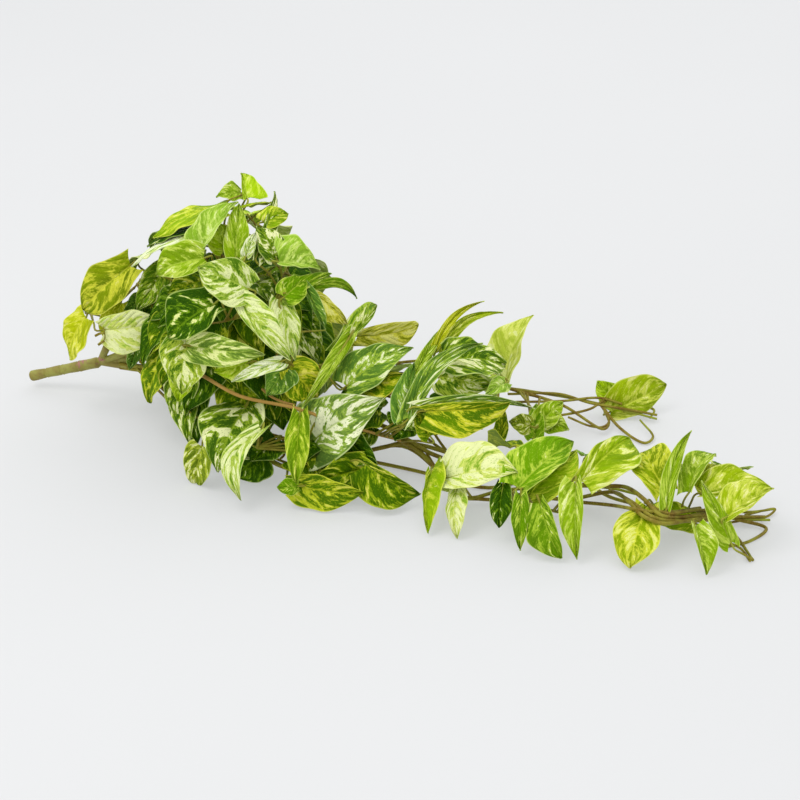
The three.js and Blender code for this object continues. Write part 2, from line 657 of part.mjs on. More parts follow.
// The places on a vine's curves where leaves can join it, evenly spaced.
function jointPlaces(curves) {
  const places = [];
  for (const curve of curves) {
    const points = curve.getSpacedPoints(curve.steps);
    for (let i = 1; i < points.length; i++) {
      const count = Math.round(points[i].distanceTo(points[i - 1]) / JOINT_SPACING);
      for (let k = 1; k <= count; k++) places.push(points[i - 1].clone().lerp(points[i], k / count));
    }
  }
  return places;
}

// The free place that lies nearest to where a petiole comes from; each is taken once.
function takeJoint(places, from) {
  const distances = places.map((place) => place.distanceTo(from));
  return places.splice(distances.indexOf(Math.min(...distances)), 1)[0];
}

let leafCount = 0;

function placedLeaf(root, tip, facing, wide, roll, joints, shape = {}) {
  const frame = leafFrame(root, tip, facing, roll);
  const length = root.distanceTo(tip);
  const lead = root.clone().lerp(tip, (-2 * PETIOLE_LEAD) / length);
  const joint = takeJoint(joints, lead);
  const manner = { ...leafManner(leafCount++), ...shape };
  return { root, frame, wide, length, joint, manner };
}

function seenLeaf([rootPlace, tipPlace, wide, rootDepth, tipDepth, roll, own = {}], home, joints) {
  const { on = home, ...shape } = own;
  const mass = MASSES[on];
  const root = onMass(mass, rootPlace, rootDepth);
  const tip = onMass(mass, tipPlace, tipDepth);
  const facing = outward(mass, root.clone().lerp(tip, 0.5));
  facing.addScaledVector(TOWARD_VIEWER, VIEWER_SHARE).normalize();
  return placedLeaf(root, tip, facing, wide, roll, joints, shape);
}

function ringLeaves({ mass: name, lift, from, to, count, wide }, joints) {
  const mass = MASSES[name];
  return Array.from({ length: count }, (_, i) => {
    const scatter = (salt) => HIDDEN_SCATTER * (chance(leafCount, salt) - 0.5);
    const angle = from + ((to - from) * i) / (count - 1) + scatter(5);
    const root = roundMass(mass, angle, lift, HIDDEN_ROOT_SCALE);
    const tip = roundMass(mass, angle + scatter(6), lift - HIDDEN_DROP + scatter(7), 1);
    return placedLeaf(root, tip, outward(mass, root.clone().lerp(tip, 0.5)), wide, 0, joints);
  });
}

function vineLeaves(vine, curves) {
  const joints = jointPlaces(curves);
  const seenRows = LEAVES[vine.name] ?? [];
  const rings = HIDDEN_RINGS[vine.name] ?? [];
  return [
    ...seenRows.map((row) => seenLeaf(row, vine.mass, joints)),
    ...rings.flatMap((ring) => ringLeaves(ring, joints)),
  ];
}

const below = toSolid(new THREE.BoxGeometry(3000, 3000, SLAB).translate(0, 0, -SLAB / 2));

function vineSolid(vine) {
  const curves = vineCurves(vine);
  const rods = curves.map((curve) => rod(curve, VINE_RADIUS, VINE_SIDES, curve.steps));
  const leaves = vineLeaves(vine, curves).map(leafSolid);
  const joined = wasm.Manifold.union([footRod(vine), ...rods, ...leaves]).subtract(below);
  return largestBody(joined.simplify(MERGE));
}

// Without the crumbs that a join can leave beside it.
function largestBody(solid) {
  return solid.decompose().reduce((best, body) => (body.volume() > best.volume() ? body : best));
}

const foliage = { color: 0x8fb53a, roughness: 0.5, metalness: 0 };
const bark = { color: 0x6d6a3a, roughness: 0.7, metalness: 0 };

function addNode(name, solid, look) {
  const mesh = new THREE.Mesh(toGeometry(solid), new THREE.MeshStandardMaterial(look));
  mesh.name = name;
  group.add(mesh);
}

const group = new THREE.Group();
addNode("stem", stemSolid(), bark);
for (const vine of VINES) addNode(vine.name, vineSolid(vine), foliage);

// The origin goes under the middle of the bounding box.
const bounds = new THREE.Box3().setFromObject(group);
const middle = bounds.getCenter(vec(0, 0, 0));
for (const mesh of group.children) mesh.position.set(-middle.x, -middle.y, -bounds.min.z);

export default group;
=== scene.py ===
# %% [markdown]
# # A trailing pothos bush, lying on its side
# This notebook dresses the solids of a trailing foliage bush: a ringed moulded pick at the left,
# wiry vines that fork out of it, a mound of heart-shaped leaves, and long runs of vine to the right.
# The solids say where everything is. Here they get thin quilted leaves, marbled colour and round
# vines. The first step is to load them, as every piece is placed in their frame, in metres.

# %% Load the solids and note their size
import math

import bpy
import numpy as np
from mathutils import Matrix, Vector


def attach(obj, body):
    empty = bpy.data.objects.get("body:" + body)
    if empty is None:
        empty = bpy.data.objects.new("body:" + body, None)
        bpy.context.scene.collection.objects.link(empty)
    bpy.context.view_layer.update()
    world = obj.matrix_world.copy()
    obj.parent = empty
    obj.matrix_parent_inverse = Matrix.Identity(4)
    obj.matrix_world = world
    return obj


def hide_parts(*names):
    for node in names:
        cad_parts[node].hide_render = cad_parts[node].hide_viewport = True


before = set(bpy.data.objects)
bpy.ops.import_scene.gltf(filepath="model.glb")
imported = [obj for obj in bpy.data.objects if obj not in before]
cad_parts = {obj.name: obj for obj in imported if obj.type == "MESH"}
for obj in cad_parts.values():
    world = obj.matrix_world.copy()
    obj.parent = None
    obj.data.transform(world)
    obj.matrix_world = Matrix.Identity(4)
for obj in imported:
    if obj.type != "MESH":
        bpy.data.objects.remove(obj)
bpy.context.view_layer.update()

print("solids", sorted(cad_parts))

# %% [markdown]
# ## From the view to the table top
# The bush was drawn from one view: straight along +Y and looking down by 26.5 degrees. Places are
# planned in millimetres, in a frame whose origin is under the middle of that view, and moved to the
# frame of the solids at the end.

# %% The view and the two frames
VIEW_RISE = math.radians(26.5)
VIEW_DISTANCE = 2700.0
VIEW_AIM = np.array([0.0, 0.0, 60.0])
PICTURE_SIDE = 800
VIEW_CENTRE = PICTURE_SIDE / 2
MM_PER_STEP = 1.28
MM_PER_METRE = 1000
FRAME_MIDDLE = np.array([-23.934, -62.551, 0.0])
TOWARD_VIEWER = np.array([0.0, -math.cos(VIEW_RISE), math.sin(VIEW_RISE)])
EYE = VIEW_AIM + VIEW_DISTANCE * TOWARD_VIEWER


def to_metres(places):
    return (np.asarray(places, float) - FRAME_MIDDLE) / MM_PER_METRE


print("eye in metres", to_metres(EYE).round(3))

# %% [markdown]
# ## Lines of sight
# A place that was seen is written as its picture column and row with a height. A line of sight
# leaves the eye through that column and row, and the place is where it has come down to the height.

# %% From column, row and height to a place
UP = np.array([0.0, 0.0, 1.0])


def vec(x, y, z):
    return np.array([x, y, z], float)


def unit(v):
    return v / np.linalg.norm(v)


def sight(column, row):
    right = (column - VIEW_CENTRE) * MM_PER_STEP / VIEW_DISTANCE
    up = (VIEW_CENTRE - row) * MM_PER_STEP / VIEW_DISTANCE
    sin, cos = math.sin(VIEW_RISE), math.cos(VIEW_RISE)
    return vec(right, cos + up * sin, -sin + up * cos)


def seen(column, row, height):
    ray = sight(column, row)
    return EYE + ray * (height - EYE[2]) / ray[2]


def placed(place):
    """A route holds places in space and places that were seen, and both end as places in space."""
    return place if isinstance(place, np.ndarray) else seen(*place)


print("middle of the view on the table", seen(VIEW_CENTRE, VIEW_CENTRE, 0).round(1), "mm")

# %% [markdown]
# ## The camera
# The camera stands at the eye of the plan, 2.7 m away. From there a long lens is needed to fill the
# picture, and it keeps the trailing end in proportion to the mound.

# %% Camera
scene = bpy.context.scene
SENSOR = 36.0
camera_data = bpy.data.cameras.new("camera")
camera_data.sensor_width = SENSOR
camera_data.lens = SENSOR * VIEW_DISTANCE / (PICTURE_SIDE * MM_PER_STEP)
camera = bpy.data.objects.new("camera", camera_data)
camera.location = to_metres(EYE)
camera.rotation_euler = (math.pi / 2 - VIEW_RISE, 0, 0)
scene.collection.objects.link(camera)
scene.camera = camera
print("lens", round(camera_data.lens, 2), "mm")

# %% [markdown]
# ## Light
# A product table is lit from all round, so most of the light is an even dome, and the table stays
# nearly white. A wide lamp over the left shoulder shapes the leaves, and a weaker one behind lights
# their edges.

# %% Lamps and dome
DOME_STRENGTH = 1.05
DOME_COLOUR = (0.99, 0.994, 1.0)
LAMP_AIM = (0, 0, 0.1)
world = bpy.data.worlds.new("soft dome")
world.use_nodes = True
world.node_tree.nodes["Background"].inputs["Color"].default_value = (*DOME_COLOUR, 1)
world.node_tree.nodes["Background"].inputs["Strength"].default_value = DOME_STRENGTH
scene.world = world
scene.view_settings.view_transform = "Standard"


def lamp(name, place, size, watts):
    data = bpy.data.lights.new(name, "AREA")
    data.shape, data.size, data.energy = "SQUARE", size, watts
    made = bpy.data.objects.new(name, data)
    made.location = place
    made.rotation_euler = (Vector(LAMP_AIM) - Vector(place)).to_track_quat("-Z", "Y").to_euler()
    scene.collection.objects.link(made)
    print(name, watts, "W")


lamp("key lamp", place=(-1.4, -0.9, 2.9), size=1.6, watts=30)
lamp("back lamp", place=(0.9, 2.2, 2.6), size=2.2, watts=10)

# %% [markdown]
# ## Maths nodes in few words
# Both materials and Geometry Nodes trees are chains of small sums. A helper makes one node for each
# and takes numbers and sockets alike, so that a formula can be read as a formula.


# %% Helpers for node trees
# The Mix node has its own sockets for each kind of data. These are the numbers of those for colours.
MIX_SHARE, MIX_FIRST, MIX_SECOND, MIX_RESULT = 0, 6, 7, 2


class Sums:
    """sums("ADD", a, b) makes a Math node in a tree and gives its output."""

    def __init__(self, tree):
        self.tree = tree

    def plug(self, value, socket):
        if isinstance(value, bpy.types.NodeSocket):
            self.tree.links.new(value, socket)
        else:
            socket.default_value = value

    def node(self, kind, **inputs):
        made = self.tree.nodes.new(kind)
        for name, value in inputs.items():
            self.plug(value, made.inputs[name.replace("_", " ")])
        return made

    def __call__(self, operation, *values, clamp=False):
        made = self.tree.nodes.new("ShaderNodeMath")
        made.operation, made.use_clamp = operation, clamp
        for value, socket in zip(values, made.inputs):
            self.plug(value, socket)
        return made.outputs[0]

    def step(self, value, low, high):
        """0 at low, 1 at high, smooth between them."""
        made = self.tree.nodes.new("ShaderNodeMapRange")
        made.interpolation_type = "SMOOTHSTEP"
        for name, given in (("Value", value), ("From Min", low), ("From Max", high)):
            self.plug(given, made.inputs[name])
        return made.outputs["Result"]

    def centred(self, value, strength):
        """A noise of 0 to 1 as a swing to both sides of 0."""
        return self("MULTIPLY", self("SUBTRACT", value, 0.5), strength)

    def between(self, value, least, span):
        """least where the value is 0, and span more where it is 1."""
        return self("ADD", least, self("MULTIPLY", value, span))

    def noise(self, scale, detail, where=None, warp=0.0):
        """Clouds between 0 and 1, around the places given or else those of the mesh."""
        made = self.node("ShaderNodeTexNoise", Scale=scale, Detail=detail, Distortion=warp)
        if where is not None:
            self.plug(where, made.inputs["Vector"])
        return made.outputs["Fac"]

    def mix(self, share, a, b):
        """Colour a where share is 0 and colour b where it is 1."""
        made = self.tree.nodes.new("ShaderNodeMix")
        made.data_type = "RGBA"
        self.plug(share, made.inputs[MIX_SHARE])
        self.plug(a, made.inputs[MIX_FIRST])
        self.plug(b, made.inputs[MIX_SECOND])
        return made.outputs[MIX_RESULT]

    def layer(self, colour, over, mask, strength):
        """Lays a colour over another where the mask is 1, at this strength."""
        return self.mix(self("MULTIPLY", mask, strength), colour, over)

    def vector(self, x, y, z):
        return self.node("ShaderNodeCombineXYZ", X=x, Y=y, Z=z).outputs[0]

    def read(self, label, output):
        """What the points of the mesh carry under this label."""
        made = self.tree.nodes.new("ShaderNodeAttribute")
        made.attribute_name = label
        return made.outputs[output]


print("helpers", [name for name in vars(Sums) if not name.startswith("_")])

# %% [markdown]
# ## Starting and closing a finish
# Every finish is one Principled shader. Colour, roughness and bump reach it as sockets, while values
# that don't change over the piece are set on the shader itself. Colours are picked as seen on a
# screen and turned into light before they are used.

# %% Helpers for finishes


def linear(red, green, blue, alpha=1.0):
    """A colour as seen on a screen, 0 to 255, turned into the light that a shader wants."""
    def one(c):  # the curve of the sRGB standard
        c /= 255
        return c / 12.92 if c <= 0.04045 else ((c + 0.055) / 1.055) ** 2.4
    return (one(red), one(green), one(blue), alpha)


def new_material(name, roughness, specular):
    made = bpy.data.materials.new(name)
    made.use_nodes = True
    shader = made.node_tree.nodes["Principled BSDF"]
    shader.inputs["Roughness"].default_value = roughness
    shader.inputs["Specular IOR Level"].default_value = specular
    return made, Sums(made.node_tree), shader


def close_finish(sums, shader, colour, rough, height, strength, depth):
    """Colour, roughness and bump go into the shader; depth is that of the bump, in metres."""
    sums.plug(colour, shader.inputs["Base Color"])
    sums.plug(rough, shader.inputs["Roughness"])
    bump = sums.node("ShaderNodeBump", Strength=strength, Distance=depth, Height=height)
    sums.plug(bump.outputs["Normal"], shader.inputs["Normal"])


print("mid grey on a screen is", round(linear(128, 128, 128)[0], 3), "of white light")

# %% [markdown]
# ## The pale table
# The table is only there to catch light and a faint shadow, so it is staged, not part of the bush.
# A very slight change of tone keeps it from looking like a cut-out. It also glows a little: that
# stands for the light that a white studio throws back from all sides.

# %% The table
TABLE_HALF = 25.0
TABLE_GLOW = 0.44
TABLE_TONES = (linear(160, 160, 160), linear(166, 166, 166))
table_mesh = bpy.data.meshes.new("table")
corners = [(x * TABLE_HALF, y * TABLE_HALF, 0) for x, y in ((-1, -1), (1, -1), (1, 1), (-1, 1))]
table_mesh.from_pydata(corners, [], [(0, 1, 2, 3)])
table = bpy.data.objects.new("table", table_mesh)
scene.collection.objects.link(table)
table_finish, sums, shader = new_material("pale table", roughness=0.85, specular=0.2)
where = sums.node("ShaderNodeTexCoord").outputs["Object"]
cloud = sums.noise(scale=0.8, detail=2.0, where=where)
sums.plug(sums.mix(cloud, *TABLE_TONES), shader.inputs["Base Color"])
shader.inputs["Emission Color"].default_value = linear(236, 238, 240)
shader.inputs["Emission Strength"].default_value = TABLE_GLOW
table_mesh.materials.append(table_finish)
print("table", 2 * TABLE_HALF, "m wide")

# %% [markdown]
# ## Rounded masses
# The leaves of a bush lie on a few rounded heaps. Each heap is an ellipsoid with a centre, half
# sizes and a turn about the vertical. A leaf that was seen is put where its line of sight meets its
# heap, a little above or below it.

# %% The masses and how a line of sight meets one
MASSES = {
    "left": (vec(-352, 110, 150), vec(70, 60, 110), 0),
    "bush": (vec(-205, 40, 110), vec(165, 175, 218), 0),
    "front": (vec(-110, -60, 20), vec(200, 125, 80), -12),
    "heart": (vec(20, -60, 40), vec(160, 110, 120), -20),
    "lower": (vec(170, -190, 30), vec(140, 80, 60), -20),
    "upper": (vec(215, 5, 25), vec(110, 60, 45), 10),
    "tip": (vec(385, -225, 30), vec(110, 70, 50), -10),
    "loops": (vec(300, 130, 0), vec(100, 60, 60), 0),
}


def turned(v, axis, degrees):
    a = math.radians(degrees)
    level = axis * np.dot(axis, v) * (1 - math.cos(a))
    return v * math.cos(a) + np.cross(axis, v) * math.sin(a) + level


def in_ball(mass, v):
    """A heap is a ball of radius 1 once its turn and its half sizes are taken out."""
    centre, half, turn = mass
    return turned(v, UP, -turn) / half


def outward(mass, place):
    centre, half, turn = mass
    return unit(turned(in_ball(mass, place - centre) / half, UP, turn))


def on_mass(mass, picture, depth):
    """Where a line of sight enters the heap, and then so much deeper."""
    ray = sight(*picture)
    start, along = in_ball(mass, EYE - mass[0]), in_ball(mass, ray)
    a, b = along @ along, start @ along
    inside = max(0, b * b - a * (start @ start - 1))
    t = (-b - math.sqrt(inside)) / a
    return EYE + ray * (t + depth / np.linalg.norm(ray))


def round_mass(mass, angle, lift, scale):
    """A place on the heap, or on a smaller one inside it, at an angle round it and a lift."""
    centre, half, turn = mass
    a, up = math.radians(angle), math.radians(lift)
    place = vec(math.cos(up) * math.cos(a), math.cos(up) * math.sin(a), math.sin(up))
    return turned(place * half * scale, UP, turn) + centre


print(len(MASSES), "masses")

# %% [markdown]
# ## Smooth curves
# A wired vine bends evenly, so its route is a few places joined by a smooth curve that passes
# through all of them. The pace along it follows the square root of the distance between places,
# which keeps the curve from overshooting at a tight bend.

# %% Smooth curves through places
LEAST_SPAN = 1e-6


def smooth(places, steps):
    """Points along the curve, with so many steps between two places."""
    p = [np.asarray(q, float) for q in places]
    p = [2 * p[0] - p[1], *p, 2 * p[-1] - p[-2]]
    points = [p[1]]
    for p0, p1, p2, p3 in zip(p, p[1:], p[2:], p[3:]):
        spans = ((p0, p1), (p1, p2), (p2, p3))
        d0, d1, d2 = (math.sqrt(max(np.linalg.norm(b - a), LEAST_SPAN)) for a, b in spans)
        m1 = d1 * ((p1 - p0) / d0 - (p2 - p0) / (d0 + d1) + (p2 - p1) / d1)
        m2 = d1 * ((p2 - p1) / d1 - (p3 - p1) / (d1 + d2) + (p3 - p2) / d2)
        square, cube = 3 * (p2 - p1) - 2 * m1 - m2, 2 * (p1 - p2) + m1 + m2
        for k in range(1, steps + 1):
            t = k / steps
            points.append(p1 + m1 * t + square * t**2 + cube * t**3)
    return np.array(points)


print(len(smooth([vec(0, 0, 0), vec(9, 4, 0), vec(18, 0, 0)], 4)), "points for 3 places and 4 steps")

# %% [markdown]
# ## Pick, forks and sockets
# The pick is straight up to its crown, and four forks leave the crown. Up to four vines stand in the
# end of a fork, in a small ring round its middle. A vine starts a little way out of its socket.

# %% Forks and sockets
PICK_END = seen(31, 376, 16)
PICK_CROWN = seen(100, 362, 48)
FORKS = {
    "left": seen(110, 340, 88),
    "high": seen(146, 345, 92),
    "middle": seen(156, 355, 72),
    "low": seen(142, 368, 52),
}
MOST_SOCKETS = 4
FIRST_SOCKET = math.pi / 4
SOCKET_RING = 3.5


def line_frame(start, end):
    """Along a line, to its side and over it, each of length 1."""
    along = unit(end - start)
    side = unit(np.cross(along, UP))
    return along, side, np.cross(side, along)


def socket_place(fork, n, out):
    along, side, over = line_frame(PICK_CROWN, FORKS[fork])
    angle = 2 * math.pi * n / MOST_SOCKETS + FIRST_SOCKET
    return FORKS[fork] + along * out + SOCKET_RING * (side * math.cos(angle) + over * math.sin(angle))


print(len(FORKS), "forks of up to", MOST_SOCKETS, "sockets")

# %% [markdown]
# ## Routes of the vines
# Eleven vines stand in the sockets. A route mixes places in space, where the vine is hidden, with
# places that were seen. Some vines branch, and each branch starts at a place of its vine.

# %% Routes
MOUTH_PLACES = (3, 9)
# name: fork, socket, mass, thickness of the vine, its route, its branches
VINES = {
    "vine_left": ("left", 0, "left", 1.5,
        [(106, 322, 112), (116, 306, 138), (134, 288, 162), (146, 272, 184)],
        [[(108, 318, 118), (96, 315, 128), (86, 313, 133)]]),
    "vine_crown": ("high", 0, "bush", 1.7,
        [vec(-288, 55, 140), vec(-262, -10, 185), vec(-238, -14, 232), vec(-212, 20, 276)],
        [[vec(-262, -10, 185), vec(-232, -62, 196), vec(-192, -84, 214)]]),
    "vine_right": ("high", 3, "bush", 1.7,
        [vec(-262, 34, 132), vec(-186, -38, 178), vec(-150, -34, 222), vec(-138, 10, 262)],
        [[vec(-186, -38, 178), vec(-140, -66, 186), vec(-92, -48, 180)]]),
    "vine_middle": ("middle", 1, "bush", 1.7,
        [vec(-282, 40, 104), vec(-238, -44, 130), vec(-172, -84, 142), vec(-84, -78, 148)], []),
    "vine_front": ("low", 1, "front", 1.7,
        [vec(-316, 40, 66), vec(-280, -36, 74), vec(-232, -88, 66), vec(-176, -116, 52)], []),
    "vine_heart": ("middle", 0, "heart", 2.5,
        [(205, 377, 138), (240, 396, 124), (295, 408, 106), (342, 424, 82), (402, 441, 54)],
        [[(342, 424, 82), (370, 404, 84), (404, 388, 86)]]),
    "vine_upper": ("middle", 3, "upper", 2.4,
        [vec(-240, 84, 72), vec(-150, 62, 74), vec(-50, 52, 76), vec(60, 44, 70),
         (507, 388, 56), (560, 396, 36), (600, 404, 22), (657, 419, 6)],
        [[vec(-50, 52, 76), vec(4, 20, 104), vec(50, -14, 122), vec(98, -34, 124)],
         [(507, 388, 56), (562, 405, 30), (602, 429, 10), (609, 423, 8), (605, 412, 14)],
         [(600, 404, 22), (616, 397, 22), (640, 405, 14), (654, 410, 9), (650, 418, 5)],
         [(600, 404, 22), (620, 428, 5), (645, 443, 3), (653, 437, 4), (640, 420, 8)]]),
    "vine_lower": ("low", 0, "lower", 2.8,
        [vec(-285, 30, 34), (250, 447, 34), (288, 468, 22), (342, 458, 26), (402, 446, 30),
         (443, 476, 16), (466, 498, 9), (500, 491, 16), (558, 486, 22), (610, 488, 18), (636, 494, 14)],
        [[(466, 498, 9), (500, 500, 9), (540, 498, 12), (580, 502, 11), (622, 507, 8)],
         [(500, 491, 16), (530, 505, 8), (558, 512, 5)]]),
    "vine_back_high": ("high", 1, "bush", 1.7,
        [vec(-278, 122, 150), vec(-225, 132, 200), vec(-180, 110, 245)], []),
    "vine_back_low": ("middle", 2, "bush", 1.7,
        [vec(-262, 134, 92), vec(-200, 150, 108), vec(-130, 132, 112), vec(-80, 96, 104)], []),
    "vine_tip": ("low", 3, "tip", 2.6,
        [vec(-280, 62, 18), vec(-170, 6, 8), vec(-60, -48, 3), vec(20, -84, 1.2), vec(110, -128, 1.2),
         (560, 470, 8), (610, 497, 7), (645, 507, 9), (664, 517, 10), (700, 513, 14), (735, 519, 8),
         (770, 520, 4)],
        [[(700, 513, 14), (716, 506, 16), (745, 512, 10), (775, 509, 6)],
         [(716, 517, 10), (735, 535, 4), (753, 560, 2)],
         [(735, 519, 8), (766, 528, 3), (750, 541, 2), (722, 548, 3)]]),
}


def vine_curves(name, steps):
    """The curves of a vine: its own, from the mouth of its socket on, and its branches."""
    fork, socket, mass, thick, route, branches = VINES[name]
    mouth = [socket_place(fork, socket, out) for out in MOUTH_PLACES]
    return [smooth([placed(q) for q in curve], steps) for curve in [mouth + route, *branches]]


print(len(VINES), "vines")

# %% [markdown]
# ## The leaves of the mound, one by one
# Every leaf that can be seen is a row: root and tip in the picture, width, how far root and tip lie
# under the heap, a roll about its length, and its colouring. Named values at the end give another
# heap, or skew, blunt or bend the leaf. The mound starts with the olive leaves that stand up on the
# left, then its crown.

# %% Rows of the left and the crown
LEAVES = {}


def drawn(root, tip, wide, root_depth, tip_depth, roll, tone, **manner):
    return root, tip, wide, root_depth, tip_depth, roll, tone, manner


LEAVES["vine_left"] = [
    drawn((131, 265), (80, 311), 58, 0, -14, 8, "olive", blunt=1.9),
    drawn((86, 317), (70, 360), 59, 10, 0, 20, "yellow", skew=0.14, blunt=1.3),
    drawn((121, 303), (113, 350), 39, 34, 26, 0, "yellow", skew=-0.12, blunt=1.2),
    drawn((104, 330), (168, 322), 52, -30, -34, 0, "cream", skew=-0.17, blunt=1.4, rise=0.04, twist=0),
    drawn((136, 350), (129, 370), 18, 20, -6, 0, "blue", skew=-0.11),
    drawn((141, 300), (124, 310), 26, 24, 8, 0, "blue"),
    drawn((164, 268), (137, 310), 36, 6, -2, 0, "green_cream", skew=-0.12, blunt=1.4),
    drawn((158, 290), (143, 315), 34, 16, 8, 0, "dark"),
]
LEAVES["vine_crown"] = [
    drawn((241, 193), (216, 197), 33, 14, 6, 0, "light", skew=0.14),
    drawn((247, 198), (241, 173), 29, 10, 0, 0, "lime", skew=-0.62, blunt=0.45),
    drawn((268, 203), (240, 206), 34, 20, 12, 50, "lime_gold", rise=-0.15),
    drawn((221, 208), (152, 238), 60, 10, -2, 30, "lime_gold", rise=-0.12, arch=0.1, curl=0),
    # The white colouring of this leaf paints the glancing reflection on its band.
    drawn((190, 236), (131, 267), 40, 14, 4, 42, "white", rise=-0.1, arch=0.08, curl=0),
    drawn((192, 229), (147, 247), 38, 26, 18, 40, "dark", rise=-0.1, curl=0),
    drawn((204, 258), (154, 273), 43, 2, -8, 0, "light", skew=-0.12, blunt=1.4),
    drawn((204, 245), (238, 201), 38, 2, -8, -24, "blue_light", skew=0.26, blunt=0.8, rise=0.5),
    drawn((236, 257), (239, 203), 29, 18, 10, 0, "light"),
    drawn((226, 250), (213, 221), 34, 28, 14, 0, "lime"),
    drawn((246, 256), (256, 232), 15, 2, -6, 0, "white", skew=0.06),
    drawn((249, 289), (197, 267), 54, 2, -10, 0, "cream_round", skew=0.06, blunt=1.25),
    drawn((214, 304), (168, 338), 60, 10, -8, 12, "dark_band", skew=-0.16, blunt=1.9),
    drawn((242, 304), (291, 361), 33, 2, -14, 12, "cream_fold", skew=0.39, blunt=1.1),
]
print(sum(len(rows) for rows in LEAVES.values()), "leaves seen so far")

# %% [markdown]
# ## The right half and the middle of the mound
# Pale folded leaves lie over the middle of the mound, and darker ones are tucked in under them.

# %% Rows of the right half and the middle
LEAVES["vine_right"] = [
    drawn((257, 255), (277, 189), 19, 10, -40, 20, "dark_cream", skew=-0.33),
    drawn((263, 222), (289, 213), 28, 12, 8, 0, "lime_gold"),
    drawn((276, 258), (256, 226), 38, 12, 4, 10, "dark_cream"),
    drawn((279, 262), (321, 269), 47, 4, -6, -28, "blue_light", skew=0.41, blunt=0.75, rise=0.5),
    drawn((289, 291), (332, 273), 17, 14, 6, 0, "green", skew=0.29, blunt=0.8),
    drawn((307, 290), (357, 299), 14, 32, 22, 30, "green",
          skew=0.04, blunt=1.2, bend=0.16, arch=0.03, curl=0),
    drawn((284, 297), (306, 277), 34, 14, 8, 0, "green"),
    drawn((305, 287), (326, 330), 14, 10, 2, 20, "blue", skew=0.42, blunt=1.5),
    drawn((318, 296), (348, 324), 25, 20, 14, 10, "gold", skew=-0.5),
    drawn((281, 300), (295, 361), 32, 22, 12, 0, "cream_fold", skew=-0.14, blunt=1.1),
]
LEAVES["vine_middle"] = [
    drawn((187, 336), (181, 395), 60, 20, 10, 0, "cream_spot", skew=0.09, blunt=1.1),
    drawn((186, 366), (178, 402), 34, 34, 26, 0, "lime"),
    drawn((190, 346), (264, 355), 39, 12, -2, 0, "border_cream", skew=-0.05, blunt=1.1),
    drawn((280, 362), (231, 381), 21, 8, -4, 35, "white", skew=0.18),
    drawn((248, 363), (214, 372), 36, 22, 16, 0, "lime"),
    drawn((284, 368), (266, 396), 40, 26, 18, 0, "blue"),
    drawn((290, 367), (318, 400), 50, 24, 14, 0, "gold_green", blunt=1.4),
    drawn((350, 336), (303, 408), 18, -8, -16, 20, "light", skew=-0.19),
    drawn((334, 353), (377, 305), 23, 26, 14, -20, "green_cream", skew=0.65, blunt=2.0, rise=0.35),
    drawn((357, 336), (421, 325), 34, 40, 22, 20, "gold", skew=-0.05, blunt=2.2),
    drawn((346, 386), (413, 345), 58, 12, 2, 0, "blue_stripe", on="heart"),
    drawn((352, 388), (405, 374), 47, 40, 24, 0, "gold_green", on="heart", skew=-0.6, blunt=1.5),
]
print(sum(len(rows) for rows in LEAVES.values()), "leaves seen so far")

# %% [markdown]
# ## The skirt and the heart of the bush
# The skirt hangs down to the table. The heart is the reddish vine over the front, whose leaves are
# the largest and the most boldly marked.

# %% Rows of the skirt and the heart
LEAVES["vine_front"] = [
    drawn((197, 385), (187, 440), 56, 4, 0, 0, "dark_cream"),
    drawn((246, 407), (217, 470), 75, 0, -6, 0, "dark_cream", blunt=1.5),
    drawn((262, 430), (241, 501), 33, -20, -42, 20, "cream_fold",
          skew=0.07, blunt=1.5, bend=-0.24, curl=0),
    drawn((202, 446), (195, 491), 41, 6, -8, 0, "olive_cream", skew=0.12),
]
LEAVES["vine_heart"] = [
    drawn((300, 414), (296, 484), 29, -14, -18, 0, "fresh", on="front", skew=0.03, blunt=1.8, rise=0.3),
    drawn((312, 442), (383, 398), 82, -4, -8, 0, "blue_splash"),
    drawn((404, 419), (415, 362), 26, 2, -10, 0, "blue", skew=0.37),
    drawn((409, 418), (484, 343), 23, -2, -46, 10, "blue_stripe", blunt=1.1, bend=0.15),
    drawn((420, 407), (536, 409), 14, -8, -24, 24, "blue_stripe",
          skew=0.04, bend=0.07, rise=-0.1, arch=0.03, curl=0),
    drawn((426, 411), (513, 404), 39, -4, -12, 24, "gold_green", skew=-0.48, blunt=1.3, rise=0.4),
    drawn((430, 436), (414, 412), 26, 10, 6, 20, "green_gold"),
]
print(sum(len(rows) for rows in LEAVES.values()), "leaves seen so far")

# %% [markdown]
# ## The trailing runs
# The upper run has small leaves round its bare loops, the lower one hangs its leaves over the edge
# of the run, and the last run ends in a cluster on the far right.

